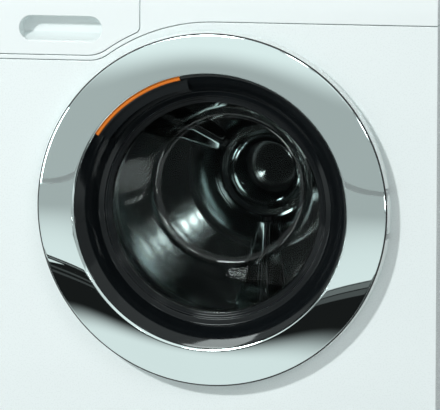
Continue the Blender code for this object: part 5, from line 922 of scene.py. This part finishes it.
# Suspension springs: each one unbroken wire, wound round and bent to a hook at either end. They
# hang the tub from brackets on the side panels and stretch as it moves.
def wound(points, radius, sides=12, scales=None):
    """A round tube with capped ends along points in millimetres."""
    curve = bpy.data.curves.new("wound", "CURVE")
    curve.dimensions = "3D"
    curve.bevel_depth = radius * MM
    curve.bevel_resolution = sides // 4
    curve.use_fill_caps = True
    curve.twist_mode = "MINIMUM"
    line = curve.splines.new("POLY")
    line.points.add(len(points) - 1)
    for index, point in enumerate(points):
        line.points[index].co = (*(Vector(point) * MM), 1.0)
        line.points[index].radius = scales[index] if scales else 1.0
    shape = taken_back(placed("wound", curve))
    bmesh.ops.remove_doubles(shape, verts=shape.verts, dist=0.0000001)
    return shape


def stretching(thing):
    """A soft piece between tub and cabinet: taken off its body, with its place baked into its mesh."""
    thing.parent = None
    del thing["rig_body"]
    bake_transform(thing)


TURNS, EACH, COIL, HOOK, WIRE = 7, 32, 13.0, 6.0, 1.75
HOOK_LOW, COILS_LOW, COILS_HIGH, HOOK_HIGH = 591, 601, 774, 784
for side, node in ((-1, "suspension_spring_left"), (1, "suspension_spring_right")):
    x, y = side * 225.0, -15.0
    hook = arc((0, 0), HOOK, 0, 180, 16)
    points = [(x + across, y, HOOK_LOW - rise) for across, rise in hook]
    for index in range(TURNS * EACH + 1):
        turn = math.pi + math.tau * index / EACH
        height = COILS_LOW + (COILS_HIGH - COILS_LOW) * index / TURNS / EACH
        points.append((x + COIL * math.cos(turn), y + COIL * math.sin(turn), height))
    points += [(x + across, y, HOOK_HIGH + rise) for across, rise in hook[::-1]]
    spring = built(node.replace("suspension", "hanging"), wound(points, WIRE), spring_steel, "cabinet", node)
    stretching(spring)
stretching(gasket)


# Hoses: a ribbed black rubber hose from the tub's sump to the pump, and a short bellows that
# takes water from the detergent drawer's housing to the tub.
STRAIGHT, HOSE, COUNT = 35, 17.5, 120
# Each knot of the hose: its shares of the way across, forwards and up from the inlet.
shares = ((0.03, 0.06, 0.45), (0.12, 0.22, 0.06), (0.27, 0.50, 0.0), (0.43, 0.78, 0.0), (0.55, 0.93, 0.0))
top, inlet = Vector((0, 13, 131.7)), Vector((131.7, -192, 60))
knots = [top, top - Vector((0, 0, STRAIGHT))]
for across, back, rise in shares:
    knots.append(Vector((inlet.x * across, top.y - (top.y - inlet.y) * back,
                         inlet.z + (top.z - STRAIGHT - inlet.z) * rise)))
knots += [inlet - Vector((STRAIGHT, 0, 0)), inlet]
route = [knots[0]]
for index in range(COUNT + 1):
    place = min(index * (len(knots) - 3) / COUNT, len(knots) - 3 - 0.00001)
    span, share = int(place), place - int(place)
    before, start, end, after = knots[span:span + 4]
    route.append(0.5 * (2 * start + (end - before) * share
                        + (2 * before - 5 * start + 4 * end - after) * share ** 2
                        + (3 * start - before - 3 * end + after) * share ** 3))
route.append(knots[-1])
ribs = [1.0 if index < 4 or index > COUNT - 3 else 0.93 + 0.07 * math.cos(math.tau * index / 5)
        for index in range(len(route))]
hose = built("drain_hose", wound(route, HOSE, 24, ribs), black_rubber, "cabinet", "sump_hose")
stretching(hose)

CUFF, FOLD, FOLDS_TOP = 15.0, 11.575, 679.3
path = [(CUFF, 692.3), (CUFF, FOLDS_TOP)]
for index in range(4):
    middle = FOLDS_TOP - FOLD * (index + 0.5)
    path += [(19.0, middle), (CUFF, middle - 5.8)]
path += [(CUFF, 623.6)]
skin = walled(softened(path, 3.5, 5, False), 2.0)
bellows = built("drawer_hose", spun(skin, 48, (-200, -90), True), black_rubber, "cabinet", "dispenser_hose")
stretching(bellows)


# Studio: a pale floor, a small lamp from the upper left, a large soft one from the right, and a
# plain pale surround. Cards, strips and a cloth show only in what shines or through the glass.
floor_paint = Finish("floor_paint", Roughness=0.6)
dust = floor_paint.grain(3.0, 4.0)
floor_paint.coat(dust, (0.78, 0.80, 0.80), (0.82, 0.84, 0.84))


def studio_face(name, finish, points, faces=None, place=(0, 0, 0)):
    """A piece of the studio, from points in metres and its faces, or one face through them all."""
    mesh = bpy.data.meshes.new(name)
    mesh.from_pydata(points, [], faces or [tuple(range(len(points)))])
    mesh.materials.append(finish.material)
    thing = placed(name, mesh, place)
    thing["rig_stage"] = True
    return thing


def studio_card(name, finish, points, faces=None, place=(0, 0, 0), glossy=True, seen_through=False):
    """A card or cloth that only shows in what shines, or in what is seen through glass."""
    thing = studio_face(name, finish, points, faces, place)
    finish.material.cycles.emission_sampling = "NONE"
    thing.visible_camera = thing.visible_diffuse = thing.visible_shadow = False
    thing.visible_glossy, thing.visible_transmission = glossy, seen_through


REACH = 40.0
studio_face("studio_floor", floor_paint, [(x, y, 0) for x, y in corners(-REACH, -REACH, REACH, REACH)])

card_paint = Finish("card_paint", Roughness=0.9)
fade = card_paint.fading(card_paint.away((0.12, 0.36, 0.0)), 0.40, 0.62)
left_edge = card_paint.across * 0.70 + card_paint.deep * 0.72 + 0.775
right_edge = card_paint.deep * 0.79 - card_paint.across * 0.61 + 0.776
outside = 1 - (left_edge > 0) * (right_edge > 0)
# Each stripe: the edge it lies along, how far from that edge it starts and ends, and its level.
wedge = (-0.66 - card_paint.across) * 0.40 + 0.065
STRIPES = ((right_edge, 0.0, 0.006, 0.25), (right_edge, 0.016, 0.080, 0.17),
           (right_edge, 0.092, 0.15, 0.08), (left_edge, 0.025, 0.040, 0.25), (left_edge, 0.065, wedge, 0.9),
           (left_edge, 0.15, 0.175, 0.06), (left_edge, 0.21, 0.24, 0.05))
stripes = sum((edge > start) * (edge < end) * level for edge, start, end, level in STRIPES)
near_floor = card_paint.fading(card_paint.away((0.0, 0.0, 0.0)), 0.8, 3.2, 0.96, 0.50)
aside = abs(card_paint.across + 0.30) / 0.75
ahead = abs(card_paint.deep + 2.65) / 1.6
matt = card_paint.fading(aside.by("MAXIMUM", ahead), 0.7, 1.0, 0.03, 1.0)
card_paint.glow((1 - outside) * (0.92 * (1 - fade) + stripes + 0.012) + outside * near_floor * matt)
card = arc((0, 0), 8.6, 180, 360, 60) + [(8.6, 0.22), (-8.6, 0.22)]
studio_card("dark_card", card_paint, [(x, y, 0.0) for x, y in card], place=(-0.26, -0.56, 0.004))

# Each strip: its direction from the machine as degrees to the right and up, its distance, its
# width and height in metres, and its level.
MACHINE = Vector((0, -0.2, 0.45))
STRIPS = (("left_strip", -66, 2, 11.0, 1.1, 6.6, 14.0),
          ("roof_strip", -58, 68, 11.0, 8.0, 4.2, 10.0),
          ("right_strip", 72, 33, 11.0, 5.28, 4.4, 0.9),
          ("top_strip", -21, 57, 11.0, 3.96, 3.96, 16.0),
          ("upper_arc_strip", 24, 44, 11.0, 2.0, 2.0, 20.0),
          ("side_arc_strip", 46, 20, 11.0, 2.0, 2.0, 20.0),
          ("low_arc_strip", 52, -4, 3.4, 0.5, 0.40, 30.0))
for name, turn, lift, far, wide, tall, level in STRIPS:
    turn, lift = math.radians(turn), math.radians(lift)
    out = Vector((math.sin(turn) * math.cos(lift), -math.cos(turn) * math.cos(lift), math.sin(lift)))
    side = out.cross(Vector((0, 0, 1))).normalized() * wide / 2
    up = side.cross(out).normalized() * tall / 2
    centre = out * far + MACHINE
    strip_face = Finish(name + "_face")
    if name.endswith("arc_strip"):
        level = level * strip_face.fading(strip_face.away(tuple(centre)) / (tall / 2), 1.0, 0.1)
    strip_face.glow(level)
    points = [tuple(centre + side * right + up * high) for right, high in corners(-1, -1, 1, 1)]
    studio_card(name, strip_face, points)

cloth = Finish("dark_cloth", Roughness=0.9)
lit = 0.008
# Each patch of light on the cloth: its place across and up, its half width and height, its level.
LIGHT_PATCHES = ((1.62, 1.24, 0.12, 0.40, 60.0), (6.0, 3.2, 1.9, 1.7, 2.4), (-1.6, 5.9, 0.6, 0.5, 14.0),
                 (-6.6, 1.8, 0.5, 2.6, 4.0))
for across, high, wide, tall, level in LIGHT_PATCHES:
    off_side = abs((cloth.across - across) / wide)
    off_up = abs((cloth.high - high) / tall)
    lit = cloth.fading(off_side.by("MAXIMUM", off_up), 1.0, 0.55) * level + lit
cloth.glow(lit)


def vault(radius, sweep, rows=12, columns=24):
    """Points and faces of a sphere, or of the front half of one."""
    points, faces = [], []
    for row in range(rows + 1):
        tilt = math.radians(-88 + 176 * row / rows)
        for column in range(columns + 1):
            turn = math.radians(180 + sweep * column / columns)
            out = radius * math.cos(tilt)
            points.append((out * math.cos(turn), out * math.sin(turn), radius * math.sin(tilt)))
    for row in range(rows):
        for column in range(columns):
            corner = row * (columns + 1) + column
            faces.append((corner, corner + 1, corner + columns + 2, corner + columns + 1))
    return points, faces


studio_card("dark_cloth", cloth, *vault(9.0, 180), (0, -0.3, 0.45), False, True)
sheet = Finish("dark_sheet", Roughness=0.9)
aside = abs(sheet.across * 0.62 + sheet.deep * 0.79)
hub_streak = (abs(sheet.across + 0.57) < 0.09) * (sheet.deep < -1.1) * (sheet.deep > -1.9) * 6.0
wall_streak = (aside < 0.10) * (sheet.across > 0.45) * (sheet.across < 2.4) * 7.0
sheet.glow(0.008 + hub_streak + wall_streak)
half_disc = arc((0, 0), 8.9, 180, 360, 40)
studio_card("dark_sheet", sheet, [(x, y, 0.0) for x, y in half_disc], None, (0, -0.34, 0.008), False, True)

for name, place, size, power in (("key_lamp", (-2.1, -4.1, 2.9), 0.40, 150.0),
                                 ("fill_lamp", (3.0, -4.5, 3.5), 3.0, 55.0)):
    lamp = bpy.data.lights.new(name, "AREA")
    lamp.shape, lamp.size, lamp.energy = "DISK", size, power
    holder = placed(name, lamp, place)
    holder.rotation_euler = (MACHINE - Vector(place)).to_track_quat("-Z", "Y").to_euler()
    holder.visible_glossy = holder.visible_transmission = False

backdrop = Finish("backdrop", Roughness=0.9)
FAR = 16.0
by_height = backdrop.fading(backdrop.high / FAR, 0.34, 0.60, 0.50, 1.04)
by_side = backdrop.fading(backdrop.across / FAR, -0.60, -0.20, 1.04, 1.0)
backdrop.glow(by_height * by_side)
studio_card("backdrop", backdrop, *vault(FAR, 360, 24, 48), (0, 0, 0.45))

surround = bpy.data.worlds.new("surround")
bpy.context.scene.world = surround
sky = Finish("sky", None, "Background", surround, Color=(0.97, 1.0, 1.0))
seen = sky.node("LightPath", {}, {}, "Is Camera Ray")
sky.set("Strength", 0.34 + seen * 0.66)

bpy.context.scene.view_settings.view_transform = "Standard"
camera = bpy.data.cameras.new("camera")
camera.lens = 406.1
camera.clip_end = 200.0
holder = placed("camera", camera, (1.2444, -6.6740, 1.3746))
holder.rotation_euler = (math.pi / 2 - 0.143, 0, 0.191)
bpy.context.scene.camera = holder


low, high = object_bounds()
